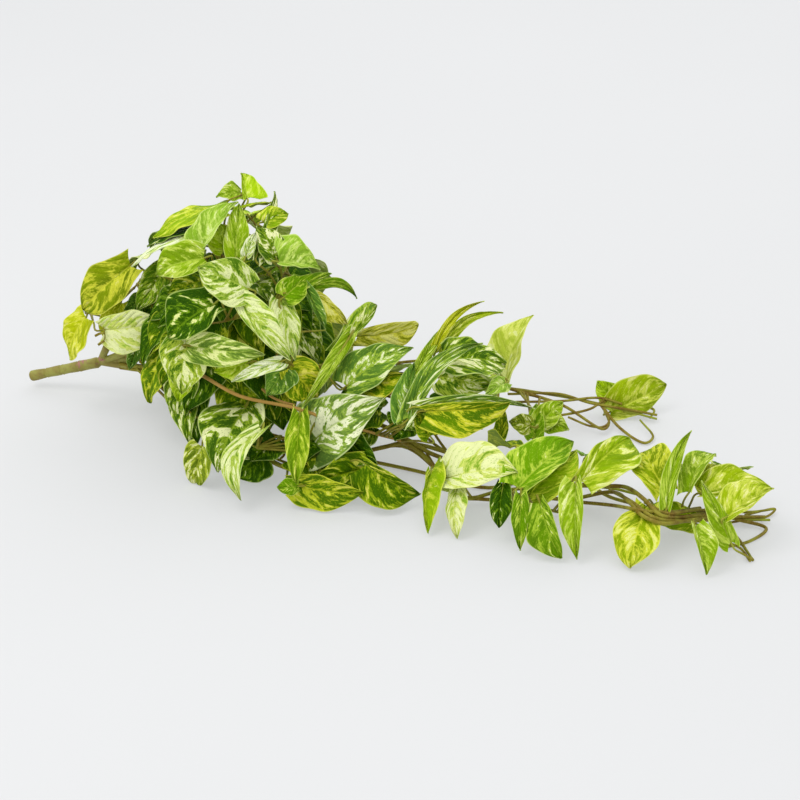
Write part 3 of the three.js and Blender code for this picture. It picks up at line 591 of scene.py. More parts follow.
# %% Rows of the trailing runs
LEAVES["vine_upper"] = [
    drawn((506, 384), (533, 314), 53, 2, -4, -18, "pale", skew=0.24, blunt=1.7, rise=0.3),
    drawn((435, 352), (485, 301), 12, 22, 24, 20, "yellow", on="heart", bend=0.13, curl=0),
    drawn((440, 350), (504, 313), 16, 34, 38, 20, "lime_spot",
          on="heart", skew=-0.42, bend=0.16, curl=0),
    drawn((414, 375), (440, 329), 15, 24, 18, 20, "light", on="heart", skew=-0.06),
    drawn((447, 360), (506, 366), 65, 8, 0, 0, "dark_cream", on="heart", skew=-0.18, blunt=1.2),
    drawn((505, 383), (486, 394), 23, 14, 6, 0, "blue_light", on="heart", skew=0.04, blunt=1.6),
    drawn((440, 376), (493, 386), 46, 30, 22, 40, "cream_spot", on="heart"),
    drawn((540, 423), (563, 402), 32, 4, 0, 0, "light"),
    drawn((545, 420), (569, 430), 30, 8, 2, 0, "light"),
    drawn((534, 438), (536, 403), 26, 0, -6, 0, "green"),
    drawn((530, 426), (509, 421), 26, -4, -8, 0, "olive_cream"),
    drawn((500, 438), (505, 410), 20, 0, -8, 0, "green_gold"),
    drawn((616, 406), (597, 381), 31, 6, 4, 0, "lime", on="loops", skew=-0.1, blunt=1.5),
    drawn((610, 412), (668, 384), 50, 0, -4, 0, "lime_spot", on="loops", skew=0.27, blunt=1.7),
]
LEAVES["vine_lower"] = [
    drawn((294, 484), (364, 492), 47, 16, 2, 20, "green_gold", on="front", skew=-0.05, blunt=1.4),
    drawn((366, 468), (312, 482), 48, 30, 24, 0, "dark_gold", on="front"),
    drawn((346, 438), (376, 465), 42, 12, 6, 0, "dark", on="heart"),
    drawn((365, 464), (421, 496), 46, 4, -4, 20, "dark_gold",
          on="front", skew=-0.51, blunt=1.2, rise=0.35),
    drawn((447, 478), (516, 470), 61, 2, -8, -12, "cream", skew=0.25, blunt=1.4, rise=0.25),
    drawn((431, 473), (427, 533), 39, 0, -44, -10, "lime_gold", skew=0.79, blunt=1.4),
    drawn((457, 489), (457, 539), 28, 10, -40, 0, "cream", skew=0.31, blunt=1.5),
    drawn((456, 478), (436, 486), 28, 12, 8, 0, "cream"),
    drawn((518, 488), (574, 442), 57, 2, -8, -10, "green", skew=0.19, blunt=1.3),
    drawn((528, 496), (577, 448), 36, 14, 8, 0, "lime_gold", skew=-0.62, blunt=1.5),
    drawn((503, 484), (499, 528), 27, 6, -12, 0, "dark", skew=0.11, blunt=1.8),
    drawn((521, 496), (520, 551), 20, -10, -56, 0, "green", skew=0.03, blunt=1.3),
    drawn((540, 503), (561, 559), 38, -8, -60, 10, "green_spot", skew=-0.37, blunt=1.8),
    drawn((576, 484), (577, 560), 28, -4, -58, 10, "light", skew=-0.35, blunt=1.2),
    drawn((581, 481), (630, 436), 52, 22, 6, 0, "splash", skew=-0.42, blunt=2.0),
    drawn((298, 486), (277, 488), 21, 6, 0, 0, "green", on="front", skew=-0.1, blunt=1.5),
]
LEAVES["vine_tip"] = [
    drawn((664, 492), (641, 448), 49, 8, 0, 0, "yellow_spot", skew=-0.11, blunt=1.8),
    drawn((667, 507), (692, 430), 18, -6, -40, 10, "light", skew=0.07, blunt=1.2, bend=0.07, curl=0),
    drawn((689, 492), (715, 451), 33, 8, 2, -20, "light", skew=0.16, blunt=1.9),
    drawn((714, 497), (697, 461), 40, 34, 26, 0, "yellow"),
    drawn((728, 516), (774, 487), 36, 2, -6, -20, "lime_spot", skew=0.42, blunt=1.2, rise=0.3),
    drawn((731, 542), (701, 480), 25, -6, -14, 0, "light", skew=0.2, blunt=0.9),
    drawn((695, 526), (707, 574), 23, -8, -62, -20, "light", skew=0.6, blunt=1.5),
    drawn((647, 506), (630, 568), 54, -6, -62, 0, "yellow_spot", skew=0.05, blunt=2.6),
    drawn((694, 523), (650, 506), 42, 60, 58, 40, "lime_gold", blunt=1.3),
    drawn((704, 493), (771, 485), 38, 22, 10, -20, "lime_spot", skew=0.36, blunt=1.2),
]
print(sum(len(rows) for rows in LEAVES.values()), "leaves seen")

# %% [markdown]
# ## Leaves that the view hides
# The far side gets rings of leaves round the same heaps, as in the solids. Inside each heap stand
# more leaves, spread over a smaller heap. They close the gaps between the outer leaves, where the
# real bush is dense, and their darker colourings paint in the shade that falls there.

# %% Rings and inner heaps
# vine: heap, lift of the roots, from and to angle, how many, width
HIDDEN_RINGS = {
    "vine_back_high": [("bush", 46, 78, 156, 4, 64), ("bush", 60, 84, 146, 2, 60)],
    "vine_back_low": [("bush", 0, 44, 132, 4, 70), ("bush", 25, 54, 126, 4, 72)],
    "vine_upper": [("heart", 34, 64, 122, 2, 64)],
    "vine_lower": [("lower", 40, 58, 122, 2, 54)],
    "vine_tip": [("tip", 40, 84, 130, 2, 48)],
}
# vine: heap, how many, lowest and highest lift, from and to angle, size of the heap, width
INNER_HEAPS = {
    "vine_crown": [("bush", 12, 30, 82, -170, 20, 0.74, 56)],
    "vine_right": [("bush", 10, 0, 62, -80, 60, 0.74, 56)],
    "vine_middle": [("bush", 14, 0, 44, -134, -20, 0.75, 60)],
    "vine_left": [("bush", 7, 0, 50, 150, 235, 0.78, 52)],
    "vine_front": [("front", 10, 4, 60, -170, -30, 0.7, 54)],
    "vine_heart": [("heart", 9, 4, 62, -178, -122, 0.72, 54), ("heart", 6, 44, 78, -110, 20, 0.6, 50)],
    "vine_back_high": [("bush", 8, 20, 70, 20, 170, 0.7, 60)],
    "vine_back_low": [("bush", 8, -6, 40, 10, 170, 0.74, 62)],
}
print(sum(ring[4] for rings in HIDDEN_RINGS.values() for ring in rings), "leaves in rings")
print(sum(heap[1] for heaps in INNER_HEAPS.values() for heap in heaps), "leaves inside")

# %% [markdown]
# ## A chance that repeats
# No two leaves are alike, yet every run has to give the same bush. So chance isn't drawn from a
# random generator but worked out from the number of the leaf and from what it is used for.

# %% Repeatable chance
USES = ("arch", "rise", "wave", "phase", "angle", "swing", "drop", "twist", "curl", "width")
LEAF_STRIDE, USE_STRIDE, SPREAD = 12.9898, 78.233, 43758.5453


def chance(i, use):
    """A number between 0 and 1 for leaf i, another one for each use."""
    return (math.sin(i * LEAF_STRIDE + (USES.index(use) + 1) * USE_STRIDE) * SPREAD) % 1


def swing(i, use, reach):
    """A chance to both sides of 0."""
    return reach * (chance(i, use) - 0.5)


print("arch of the first leaves", [round(chance(i, "arch"), 2) for i in range(4)])

# %% [markdown]
# ## Where each leaf is and how it departs from a flat one
# A leaf's own frame runs from root to tip, with its upper face out. Its stalk joins the nearest
# free place on its vine. Arch, rise of the halves, wave of the margin, twist and curl come from
# chance, unless its row says otherwise.

# %% Leaf frames and joints
JOINT_SPACING = 6
PETIOLE_LEAD = 9
# the least and the range of each way to depart from a flat leaf, as shares of its length or width
ARCH, RISE, WAVE = (0.05, 0.09), (0.1, 0.24), (0.02, 0.06)
TWIST_RANGE, MOST_CURL = 0.7, 0.5


def joint_places(name):
    places = []
    for points in vine_curves(name, 2):
        for a, b in zip(points, points[1:]):
            count = math.floor(np.linalg.norm(b - a) / JOINT_SPACING + 0.5)
            places += [a + (b - a) * k / count for k in range(1, count + 1)]
    return places


def new_leaf(i, root, tip, facing, wide, roll, tone, joints, manner):
    x = unit(tip - root)
    z = turned(unit(facing - x * (facing @ x)), x, roll)
    length = np.linalg.norm(tip - root)
    lead = root - x * 2 * PETIOLE_LEAD
    joint = joints.pop(int(np.argmin([np.linalg.norm(q - lead) for q in joints])))
    made = dict(i=i, root=root, joint=joint, x=x, y=np.cross(z, x), z=z)
    made |= dict(wide=wide, length=length, tone=tone)
    for use, (least, span) in (("arch", ARCH), ("rise", RISE), ("wave", WAVE)):
        made[use] = least + span * chance(i, use)
    made["phase"] = 2 * math.pi * chance(i, "phase")
    made["twist"] = swing(i, "twist", TWIST_RANGE)
    made["curl"] = MOST_CURL * chance(i, "curl") ** 2
    return made | dict(bend=0.0, skew=0.0, blunt=1.0) | manner


print(len(joint_places("vine_lower")), "places for a stalk on the lower run")

# %% [markdown]
# ## Leaves seen and leaves in rings
# A leaf that was seen lies where its two lines of sight meet its heap, and faces partly outwards and
# partly towards the viewer. A leaf of a ring has its root inside the heap and hangs down over it.

# %% Outer leaves
VIEWER_SHARE = 0.7
HIDDEN_TONES = ("green", "dark_cream", "lime", "blue", "green_gold", "cream", "green_cream")
HIDDEN_DROP, HIDDEN_ROOT_SCALE, HIDDEN_SCATTER = 27, 0.84, 8


def seen_leaves(name, first, joints):
    made = []
    for root, tip, wide, root_depth, tip_depth, roll, tone, given in LEAVES.get(name, []):
        manner = dict(given)
        mass = MASSES[manner.pop("on", VINES[name][2])]
        a, b = on_mass(mass, root, root_depth), on_mass(mass, tip, tip_depth)
        facing = unit(outward(mass, (a + b) / 2) + TOWARD_VIEWER * VIEWER_SHARE)
        made.append(new_leaf(first + len(made), a, b, facing, wide, roll, tone, joints, manner))
    return made


def ring_leaves(name, first, joints):
    made = []
    for mass_name, lift, low, high, count, wide in HIDDEN_RINGS.get(name, []):
        mass = MASSES[mass_name]
        for n in range(count):
            i = first + len(made)
            turn, aside, drop = (swing(i, use, HIDDEN_SCATTER) for use in ("angle", "swing", "drop"))
            angle = low + (high - low) * n / (count - 1) + turn
            root = round_mass(mass, angle, lift, HIDDEN_ROOT_SCALE)
            tip = round_mass(mass, angle + aside, lift - HIDDEN_DROP + drop, 1)
            tone = HIDDEN_TONES[i % len(HIDDEN_TONES)]
            facing = outward(mass, (root + tip) / 2)
            made.append(new_leaf(i, root, tip, facing, wide, 0, tone, joints, {}))
    return made


bush_leaves, leaf_count = {}, 0
for vine_name in VINES:
    joints = joint_places(vine_name)
    outer = seen_leaves(vine_name, leaf_count, joints)
    outer += ring_leaves(vine_name, leaf_count + len(outer), joints)
    bush_leaves[vine_name] = outer
    leaf_count += len(outer)
print(leaf_count, "outer leaves")

# %% [markdown]
# ## Leaves inside
# Steps of the golden section round the heap spread any number of leaves evenly, and rows of leaves
# never form. Inner leaves may share the places on the vine, because so few of their stalks show.

# %% Inner leaves
INNER_VIEWER_SHARE = 0.4
# Mostly dark colourings for the inner leaves: painted shade for the inside of the mound.
INNER_SHADE_TONES = ("dark", "dark", "dark_gold", "dark_cream", "green_gold", "dark", "dark_gold", "dark")
INNER_DROP, INNER_DROP_RANGE, INNER_SWING = 24, 10, 24
INNER_ROOT_SHARE, INNER_JITTER = 0.72, 0.2
INNER_LEAST_WIDTH, INNER_WIDTH_RANGE = 0.85, 0.3
GOLDEN_SHARE = 0.618034


def inner_leaves(name, first):
    joints, made = joint_places(name), []
    for mass_name, count, low, high, start, end, size, wide in INNER_HEAPS.get(name, []):
        mass = MASSES[mass_name]
        for n in range(count):
            i = first + len(made)
            lift = low + (high - low) * (n + 0.5) / count
            around = (n * GOLDEN_SHARE + chance(i, "angle") * INNER_JITTER) % 1
            angle = start + (end - start) * around
            drop = lift - INNER_DROP - INNER_DROP_RANGE * chance(i, "drop")
            root = round_mass(mass, angle, lift, size * INNER_ROOT_SHARE)
            tip = round_mass(mass, angle + swing(i, "swing", INNER_SWING), drop, size)
            facing = unit(outward(mass, (root + tip) / 2) + INNER_VIEWER_SHARE * TOWARD_VIEWER)
            width = wide * (INNER_LEAST_WIDTH + INNER_WIDTH_RANGE * chance(i, "width"))
            tone = INNER_SHADE_TONES[i % len(INNER_SHADE_TONES)]
            made.append(new_leaf(i, root, tip, facing, width, 0, tone, list(joints), {}))
    return made


for vine_name in VINES:
    inner = inner_leaves(vine_name, leaf_count)
    bush_leaves[vine_name] += inner
    leaf_count += len(inner)
print(leaf_count, "leaves")

# %% [markdown]
# ## The blade of a leaf
# A pothos leaf is heart-shaped: rounded lobes that reach back past the stalk, widest a quarter of
# the way up, and a drawn-out tip. A grid of points is laid over it, s from root to tip and v from
# margin to margin, which later steers the veins and the marbling.

# %% Outline and grid of a blade
STATIONS = (0, 0.03, 0.08, 0.17, 0.28, 0.42, 0.58, 0.74, 0.86, 0.94, 1)
HALF_WIDTHS = (0.6, 0.8, 0.94, 1.03, 1.04, 0.96, 0.79, 0.55, 0.32, 0.14, 0)
BLADE_ROWS, BLADE_COLUMNS = 40, 24
CLOSER_AT_ENDS = 0.5


def half_width(s):
    """The table above as a smooth curve."""
    xs, ys = np.array(STATIONS), np.array(HALF_WIDTHS)
    slopes = np.gradient(ys, xs)
    k = np.clip(np.searchsorted(xs, s, side="right") - 1, 0, len(xs) - 2)
    h = xs[k + 1] - xs[k]
    t = (s - xs[k]) / h
    t2, t3 = t * t, t**3
    return (
        (2 * t3 - 3 * t2 + 1) * ys[k] + (t3 - 2 * t2 + t) * h * slopes[k]
        + (3 * t2 - 2 * t3) * ys[k + 1] + (t3 - t2) * h * slopes[k + 1]
    )


row_share = np.linspace(0, 1, BLADE_ROWS + 1)
eased = (1 - np.cos(math.pi * row_share)) / 2
ROW_S = (1 - CLOSER_AT_ENDS) * row_share + CLOSER_AT_ENDS * eased
COLUMN_V = np.linspace(-1, 1, BLADE_COLUMNS + 1)
print("blade grid", BLADE_ROWS, "by", BLADE_COLUMNS)

# %% [markdown]
# ## Bending a blade
# Each row of the grid is pushed back at its ends near the root, and that makes the lobes. The flat
# blade is then arched along its midrib, its halves rise like a shallow gutter, and its margin
# ripples and frills. Long leaves may also bend sideways like a sickle. Outline, arch and rise are
# the same as in the solids, so that the fine blade lies on the plain one.

# %% From (s, v) to a place
LOBE_SETBACK, LOBE_REACH, LOBE_POWER = 0.12, 0.34, 1.7
SCALLOP_DEPTH, SCALLOP_PACE, SCALLOP_OFFSET = 0.05, 11, 1.5
RIPPLE_PACE, FRILL_PACE = 7, 17
FRILL_SHARE, LEAST_FRILL = 0.6, 0.022
TWIST_CENTRE, CURL_START = 0.4, 0.55


def margin_wave(leaf, s, v):
    """How far the blade is off its smooth form, most at the margin."""
    phase, wide = leaf["phase"], leaf["wide"]
    ripple = leaf["wave"] * wide * np.sin(RIPPLE_PACE * s + phase + v) * v * v
    frill_depth = (FRILL_SHARE * leaf["wave"] + LEAST_FRILL) * wide
    frill = frill_depth * np.sin(FRILL_PACE * s + 2 * phase + 2 * v) * np.abs(v) ** 3
    return ripple, frill * (1 - s)


def blade_place(leaf, s, v):
    length, side = leaf["length"], np.sign(v)
    scallop = 1 + SCALLOP_DEPTH * np.sin(SCALLOP_PACE * s + 3 * leaf["phase"] + SCALLOP_OFFSET * side)
    half = half_width(s ** leaf["blunt"]) * leaf["wide"] / 2 * scallop * (1 + leaf["skew"] * side)
    back = LOBE_SETBACK * np.clip(1 - s / LOBE_REACH, 0, 1) ** 2 * np.abs(v) ** LOBE_POWER
    ripple, frill = margin_wave(leaf, s, v)
    along = length * (s - back)
    across = v * half + leaf["bend"] * length * 4 * s * (1 - s)
    over = leaf["arch"] * length * 4 * s * (1 - s) + leaf["rise"] * np.abs(v * half) + ripple + frill
    over += leaf["twist"] * (s - TWIST_CENTRE) * v * half
    over -= leaf["curl"] * length * np.clip(s - CURL_START, 0, 1) ** 2
    place = leaf["root"] + np.multiply.outer(along, leaf["x"])
    return place + np.multiply.outer(across, leaf["y"]) + np.multiply.outer(over, leaf["z"])


def blade_grid(leaf):
    s, v = np.meshgrid(ROW_S[:-1], COLUMN_V, indexing="ij")
    places = blade_place(leaf, s, v).reshape(-1, 3)
    tip = blade_place(leaf, np.array([1.0]), np.array([0.0]))
    return np.vstack([places, tip]), np.append(s.ravel(), 1.0), np.append(v.ravel(), 0.0)


def blade_faces(first):
    wide = BLADE_COLUMNS + 1
    faces = []
    for r in range(BLADE_ROWS - 1):
        for c in range(BLADE_COLUMNS):
            a = first + r * wide + c
            faces.append((a, a + wide, a + wide + 1, a + 1))
    last, tip = first + (BLADE_ROWS - 1) * wide, first + BLADE_ROWS * wide
    faces += [(last + c, tip, last + c + 1) for c in range(BLADE_COLUMNS)]
    return faces


print(len(blade_faces(0)), "faces on a blade")

# %% [markdown]
# ## Colourings
# The leaves are printed: a green ground, lighter halos, and crisp cream splashes that run along the
# side veins. A colouring is three colours with the share of the leaf that halos and cream take.
# They are handed to the mesh as attributes, so that one finish can paint every leaf differently.
# The blue colourings also carry a painted bluish sheen over their print, and the white one a painted
# glancing reflection.

# %% Colourings of the leaves
# ground, halo, cream, share of halo, share of cream
TONES = {
    "olive": ((122, 142, 4), (204, 206, 60), (218, 216, 110), 0.5, 0.05),
    "yellow": ((172, 184, 4), (214, 216, 70), (226, 226, 120), 0.5, 0.16),
    "lime": ((158, 194, 4), (200, 220, 76), (214, 226, 120), 0.44, 0.06),
    "lime_gold": ((140, 176, 8), (202, 214, 62), (222, 226, 115), 0.46, 0.12),
    "lime_spot": ((152, 178, 6), (206, 216, 84), (226, 228, 140), 0.56, 0.2),
    "light": ((134, 170, 8), (188, 208, 80), (222, 230, 154), 0.48, 0.12),
    "fresh": ((104, 142, 4), (166, 190, 46), (208, 216, 96), 0.46, 0.14),
    "splash": ((134, 166, 4), (188, 204, 58), (220, 226, 140), 0.44, 0.2),
    "pale": ((172, 190, 56), (212, 220, 104), (222, 228, 146), 0.55, 0.3),
    "green": ((104, 150, 0), (182, 206, 66), (216, 224, 130), 0.42, 0.1),
    "green_spot": ((96, 138, 2), (164, 192, 52), (224, 228, 150), 0.44, 0.14),
    "green_gold": ((84, 122, 0), (196, 206, 44), (214, 214, 86), 0.5, 0.16),
    "gold_green": ((92, 130, 0), (206, 208, 48), (222, 218, 92), 0.5, 0.24),
    "gold": ((150, 158, 14), (222, 220, 80), (230, 228, 128), 0.55, 0.4),
    "dark": ((42, 80, 0), (112, 148, 22), (222, 230, 150), 0.3, 0.06),
    "dark_band": ((42, 80, 0), (120, 158, 26), (222, 228, 146), 0.36, 0.22),
    "border_cream": ((96, 128, 40), (166, 192, 76), (222, 230, 150), 0.42, 0.4),
    "dark_gold": ((66, 102, 0), (150, 172, 22), (210, 210, 84), 0.38, 0.2),
    # Blue colourings: print plus a painted sheen, their raised blue standing for bluish gloss.
    "blue": ((88, 132, 40), (150, 182, 66), (222, 232, 182), 0.32, 0.08),
    "blue_light": ((142, 182, 44), (194, 216, 104), (216, 228, 154), 0.42, 0.14),
    "blue_splash": ((98, 130, 52), (154, 182, 70), (234, 238, 196), 0.32, 0.44),
    "blue_stripe": ((88, 126, 40), (164, 192, 62), (230, 236, 186), 0.4, 0.28),
    "dark_cream": ((64, 100, 12), (150, 178, 44), (230, 234, 172), 0.38, 0.36),
    "olive_cream": ((112, 134, 24), (182, 196, 60), (228, 232, 160), 0.42, 0.32),
    "green_cream": ((92, 136, 12), (176, 200, 58), (228, 234, 162), 0.4, 0.32),
    "cream": ((140, 182, 40), (212, 222, 112), (228, 234, 168), 0.55, 0.55),
    "cream_round": ((84, 126, 12), (166, 190, 70), (218, 226, 160), 0.44, 0.5),
    "cream_fold": ((96, 142, 30), (186, 206, 84), (224, 232, 166), 0.5, 0.48),
    "cream_spot": ((80, 122, 16), (176, 196, 62), (226, 232, 164), 0.46, 0.42),
    # White colouring: print plus a painted glancing reflection in its pale ground, halo and cream.
    "white": ((112, 156, 56), (200, 218, 116), (234, 240, 200), 0.55, 0.56),
    "yellow_spot": ((136, 162, 0), (208, 214, 62), (220, 224, 116), 0.56, 0.26),
}
print(len(TONES), "colourings")

# %% [markdown]
# ## Veins as places in a pattern
# The side veins leave the midrib and slant towards the tip. So s and v of the grid are turned into
# "across the veins" and "along the veins", and everything that is printed or embossed on a leaf is
# made in these two directions.

# %% Vein directions
VEIN_SLANT, VEIN_CURVE = 0.36, 1.35
VEIN_PAIRS = 8.0
VEIN_FLATNESS = 0.6
MIDRIB_FADE, MARGIN_FADE = 0.22, 0.82


def vein_places(sums, s, v):
    """Across and along the side veins, for both halves of a blade."""
    side = sums("ABSOLUTE", v)
    slant = sums("MULTIPLY", sums("POWER", side, VEIN_CURVE), VEIN_SLANT)
    return sums("SUBTRACT", s, slant), side


def vein_height(sums, across, side):
    """1 midway between two side veins and 0 on a vein, fading out at the midrib and the margin."""
    wave = sums("ABSOLUTE", sums("SINE", sums("MULTIPLY", across, math.pi * VEIN_PAIRS)))
    fade = sums("SUBTRACT", 1.0, sums.step(side, MARGIN_FADE, 1.0))
    body = sums("MULTIPLY", sums.step(side, 0.0, MIDRIB_FADE), fade)
    return sums("MULTIPLY", sums("POWER", wave, VEIN_FLATNESS), body)


print(int(VEIN_PAIRS), "pairs of side veins")

# %% [markdown]
# ## The print
# Noise that is stretched along the veins and cut at a threshold gives splashes with ragged ends;
# the same noise cut a little lower gives the halo round each of them. The thresholds come from the
# shares that the leaf carries. Both halves of a leaf read other parts of the noise.

# %% Streaks, splashes and halos
# steps across the veins, steps along them, detail, start in the noise, warp
PATCH = (6.6, 1.9, 5.0, 0.0, 0.6)
RAGGED = (28.0, 6.5, 4.0, 11.0, 0.0)
FINE = (52.0, 11.0, 3.0, 23.0, 0.0)
SOFT = (1.6, 0.9, 2.0, 51.0, 0.0)
SPECK = (64.0, 19.0, 2.0, 71.0, 0.0)
HALVES_APART = 37.0
RAGGED_REACH, FINE_REACH = 0.22, 0.34
CREAM_NONE, CREAM_RANGE, CREAM_EDGE = 0.69, 0.36, 0.012
HALO_TOP, LEAST_HALO, HALO_RANGE = 0.62, 0.01, 0.2
HALO_INNER, HALO_OUTER = 0.05, 0.07


def streaks(sums, grid, kind):
    across, side, half = grid
    across_scale, along_scale, detail, start, warp = kind
    place = sums.vector(
        sums("MULTIPLY", across, across_scale),
        sums("MULTIPLY", side, along_scale),
        sums("ADD", half, start),
    )
    return sums.noise(1.0, detail, place, warp)


def print_masks(sums, grid, fine, halo_share, cream_share):
    """Where the halo is and where the cream is, each from 0 to 1."""
    ragged = sums.centred(streaks(sums, grid, RAGGED), RAGGED_REACH)
    splash = sums("ADD", streaks(sums, grid, PATCH), ragged)
    cream_line = sums("SUBTRACT", CREAM_NONE, sums("MULTIPLY", cream_share, CREAM_RANGE))
    cream = sums.step(
        splash, sums("SUBTRACT", cream_line, CREAM_EDGE), sums("ADD", cream_line, CREAM_EDGE))
    drop = sums("ADD", LEAST_HALO, sums("MULTIPLY", halo_share, HALO_RANGE))
    halo_line = sums("SUBTRACT", sums("MINIMUM", cream_line, HALO_TOP), drop)
    halo = sums.step(
        sums("ADD", splash, sums.centred(fine, FINE_REACH)),
        sums("SUBTRACT", halo_line, HALO_INNER), sums("ADD", halo_line, HALO_OUTER))
    return halo, cream


print("cream starts at", CREAM_NONE, "of the noise and comes down by up to", CREAM_RANGE)

# %% [markdown]
# ## The colours of a leaf, from the ground up
# A leaf is painted in layers, as a printer would lay them: the ground with a soft change of tone,
# the halo, paler veins and specks, the cream, green specks in the cream, a pale midrib, and a thin
# light margin where the cut edge of the fabric shows.

# %% Layers of colour
DEEP_SHADE, DEEP_SHARE = (0.02, 0.06, 0.004, 1), 0.38
DEEP_FROM, DEEP_FULL = 0.62, 0.34
HALO_STRENGTH = 0.9
VEIN_SHARPNESS, VEIN_STRENGTH = 9.0, 0.3
SPECK_FROM, SPECK_FULL, SPECK_STRENGTH = 0.6, 0.68, 0.45
GREEN_FROM, GREEN_FULL, GREEN_STRENGTH = 0.42, 0.34, 0.5
RIB_EDGE, RIB_END, RIB_STRENGTH = 0.012, 0.05, 0.5
MARGIN_START, MARGIN_FULL, MARGIN_STRENGTH = 0.945, 0.975, 0.6


def leaf_colour(sums, grid, halo, cream):
    across, side, half = grid
    ground, pale_green, white = (sums.read(label, "Color") for label in ("ground", "halo", "cream"))
    deep = sums.step(streaks(sums, grid, SOFT), DEEP_FROM, DEEP_FULL)
    body = sums.mix(deep, ground, sums.mix(DEEP_SHARE, ground, DEEP_SHADE))
    colour = sums.layer(body, pale_green, halo, HALO_STRENGTH)
    vein = sums("POWER", sums("SUBTRACT", 1.0, vein_height(sums, across, side)), VEIN_SHARPNESS)
    colour = sums.layer(colour, pale_green, vein, VEIN_STRENGTH)
    speck = streaks(sums, grid, SPECK)
    colour = sums.layer(colour, pale_green, sums.step(speck, SPECK_FROM, SPECK_FULL), SPECK_STRENGTH)
    colour = sums.mix(cream, colour, white)
    colour = sums.layer(colour, body, sums.step(speck, GREEN_FROM, GREEN_FULL), GREEN_STRENGTH)
    rib = sums("SUBTRACT", 1.0, sums.step(side, RIB_EDGE, RIB_END))
    colour = sums.layer(colour, pale_green, rib, RIB_STRENGTH)
    margin = sums.step(side, MARGIN_START, MARGIN_FULL)
    return sums.layer(colour, sums.mix(0.5, pale_green, white), margin, MARGIN_STRENGTH)


print("margin takes", round(1 - MARGIN_START, 3), "of half a blade")

# %% [markdown]
# ## The finish of both faces
# The upper face is coated fabric with a weak gloss that changes with the print, and a bump from the
# veins. The underside is the same print seen through the cloth: paler, duller and more even.

# %% Leaf finish
LEAF_ROUGHNESS, FINE_ROUGHNESS, UNDER_ROUGHNESS = 0.42, 0.16, 0.12
UNDER_TINT, UNDER_SHARE = linear(186, 204, 112), 0.42
FINE_RELIEF = 0.25


def leaf_finish(name, under):
    finish, sums, shader = new_material(name, roughness=0.5, specular=0.03)
    blade = sums.node("ShaderNodeSeparateXYZ", Vector=sums.read("blade", "Vector"))
    s, v = blade.outputs["X"], blade.outputs["Y"]
    shares = sums.node("ShaderNodeSeparateXYZ", Vector=sums.read("shares", "Vector"))
    halo_share, cream_share, seed = (shares.outputs[k] for k in "XYZ")
    across, side = vein_places(sums, s, v)
    half = sums("ADD", seed, sums("MULTIPLY", sums("GREATER_THAN", v, 0.0), HALVES_APART))
    grid = across, side, half
    fine = streaks(sums, grid, FINE)
    colour = leaf_colour(sums, grid, *print_masks(sums, grid, fine, halo_share, cream_share))
    if under:
        colour = sums.mix(UNDER_SHARE, colour, UNDER_TINT)
    rough = sums.between(fine, LEAF_ROUGHNESS, FINE_ROUGHNESS)
    rough = sums("ADD", rough, UNDER_ROUGHNESS if under else 0.0)
    relief = sums("ADD", vein_height(sums, across, side), sums("MULTIPLY", fine, FINE_RELIEF))
    close_finish(sums, shader, colour, rough, relief, strength=0.8, depth=0.001)
    print(name, len(finish.node_tree.nodes), "nodes")
    return finish


leaf_face = leaf_finish("printed leaf face", under=False)
leaf_back = leaf_finish("leaf underside", under=True)

# %% [markdown]
# ## Trees of Geometry Nodes
# Quilting and wires follow rules, so Geometry Nodes make them. Both trees have named inputs for
# their sizes, and both end by realizing what they made and giving it its finish.

# %% Helpers for trees


def new_tree(name, numbers):
    tree = bpy.data.node_groups.new(name, "GeometryNodeTree")
    for direction in ("INPUT", "OUTPUT"):
        tree.interface.new_socket("Geometry", in_out=direction, socket_type="NodeSocketGeometry")
    for label, start in numbers.items():
        made = tree.interface.new_socket(label, in_out="INPUT", socket_type="NodeSocketFloat")
        made.default_value = start
    tree.interface.new_socket("Finish", in_out="INPUT", socket_type="NodeSocketMaterial")
    return tree, Sums(tree), tree.nodes.new("NodeGroupInput").outputs


def named(sums, label, kind="FLOAT"):
    made = sums.node("GeometryNodeInputNamedAttribute")
    made.data_type = kind
    made.inputs["Name"].default_value = label
    return made.outputs["Attribute"]


def close_tree(sums, geometry, finish):
    """Realized, finished and out."""
    real = sums.node("GeometryNodeRealizeInstances", Geometry=geometry)
    done = sums.node("GeometryNodeSetMaterial", Geometry=real.outputs[0], Material=finish)
    sums.tree.links.new(done.outputs[0], sums.tree.nodes.new("NodeGroupOutput").inputs[0])
    print(sums.tree.name, len(sums.tree.nodes), "nodes")


print("tree helpers", new_tree.__name__, named.__name__, close_tree.__name__)

# %% [markdown]
# ## Quilting
# Between its side veins a pothos blade puffs up a little, the midrib lies in a groove, and the
# fabric is a little crumpled. The tree reads the grid, sums the puffs, the groove and the crumples,
# and moves each point along the surface normal. Its inputs are in metres.

# %% The quilting tree
GROOVE_HALF = 0.12
CRUMPLE_SCALE, SMOOTH_DETAIL = 55.0, 1.0
quilting, sums, given = new_tree("quilting", {"Puff": 0.0009, "Groove": 0.0009, "Crumple": 0.0016})
blade = sums.node("ShaderNodeSeparateXYZ", Vector=named(sums, "blade", "FLOAT_VECTOR"))
across, side = vein_places(sums, blade.outputs["X"], blade.outputs["Y"])
puff = sums("MULTIPLY", vein_height(sums, across, side), given["Puff"])
groove = sums("SUBTRACT", 1.0, sums.step(side, 0.0, GROOVE_HALF))
groove = sums("MULTIPLY", groove, given["Groove"])
crumple = sums.centred(sums.noise(CRUMPLE_SCALE, SMOOTH_DETAIL), given["Crumple"])
lift = sums("ADD", sums("SUBTRACT", puff, groove), crumple)
shift = sums.node("ShaderNodeVectorMath")
shift.operation = "SCALE"
sums.plug(sums.node("GeometryNodeInputNormal").outputs[0], shift.inputs[0])
sums.plug(lift, shift.inputs["Scale"])
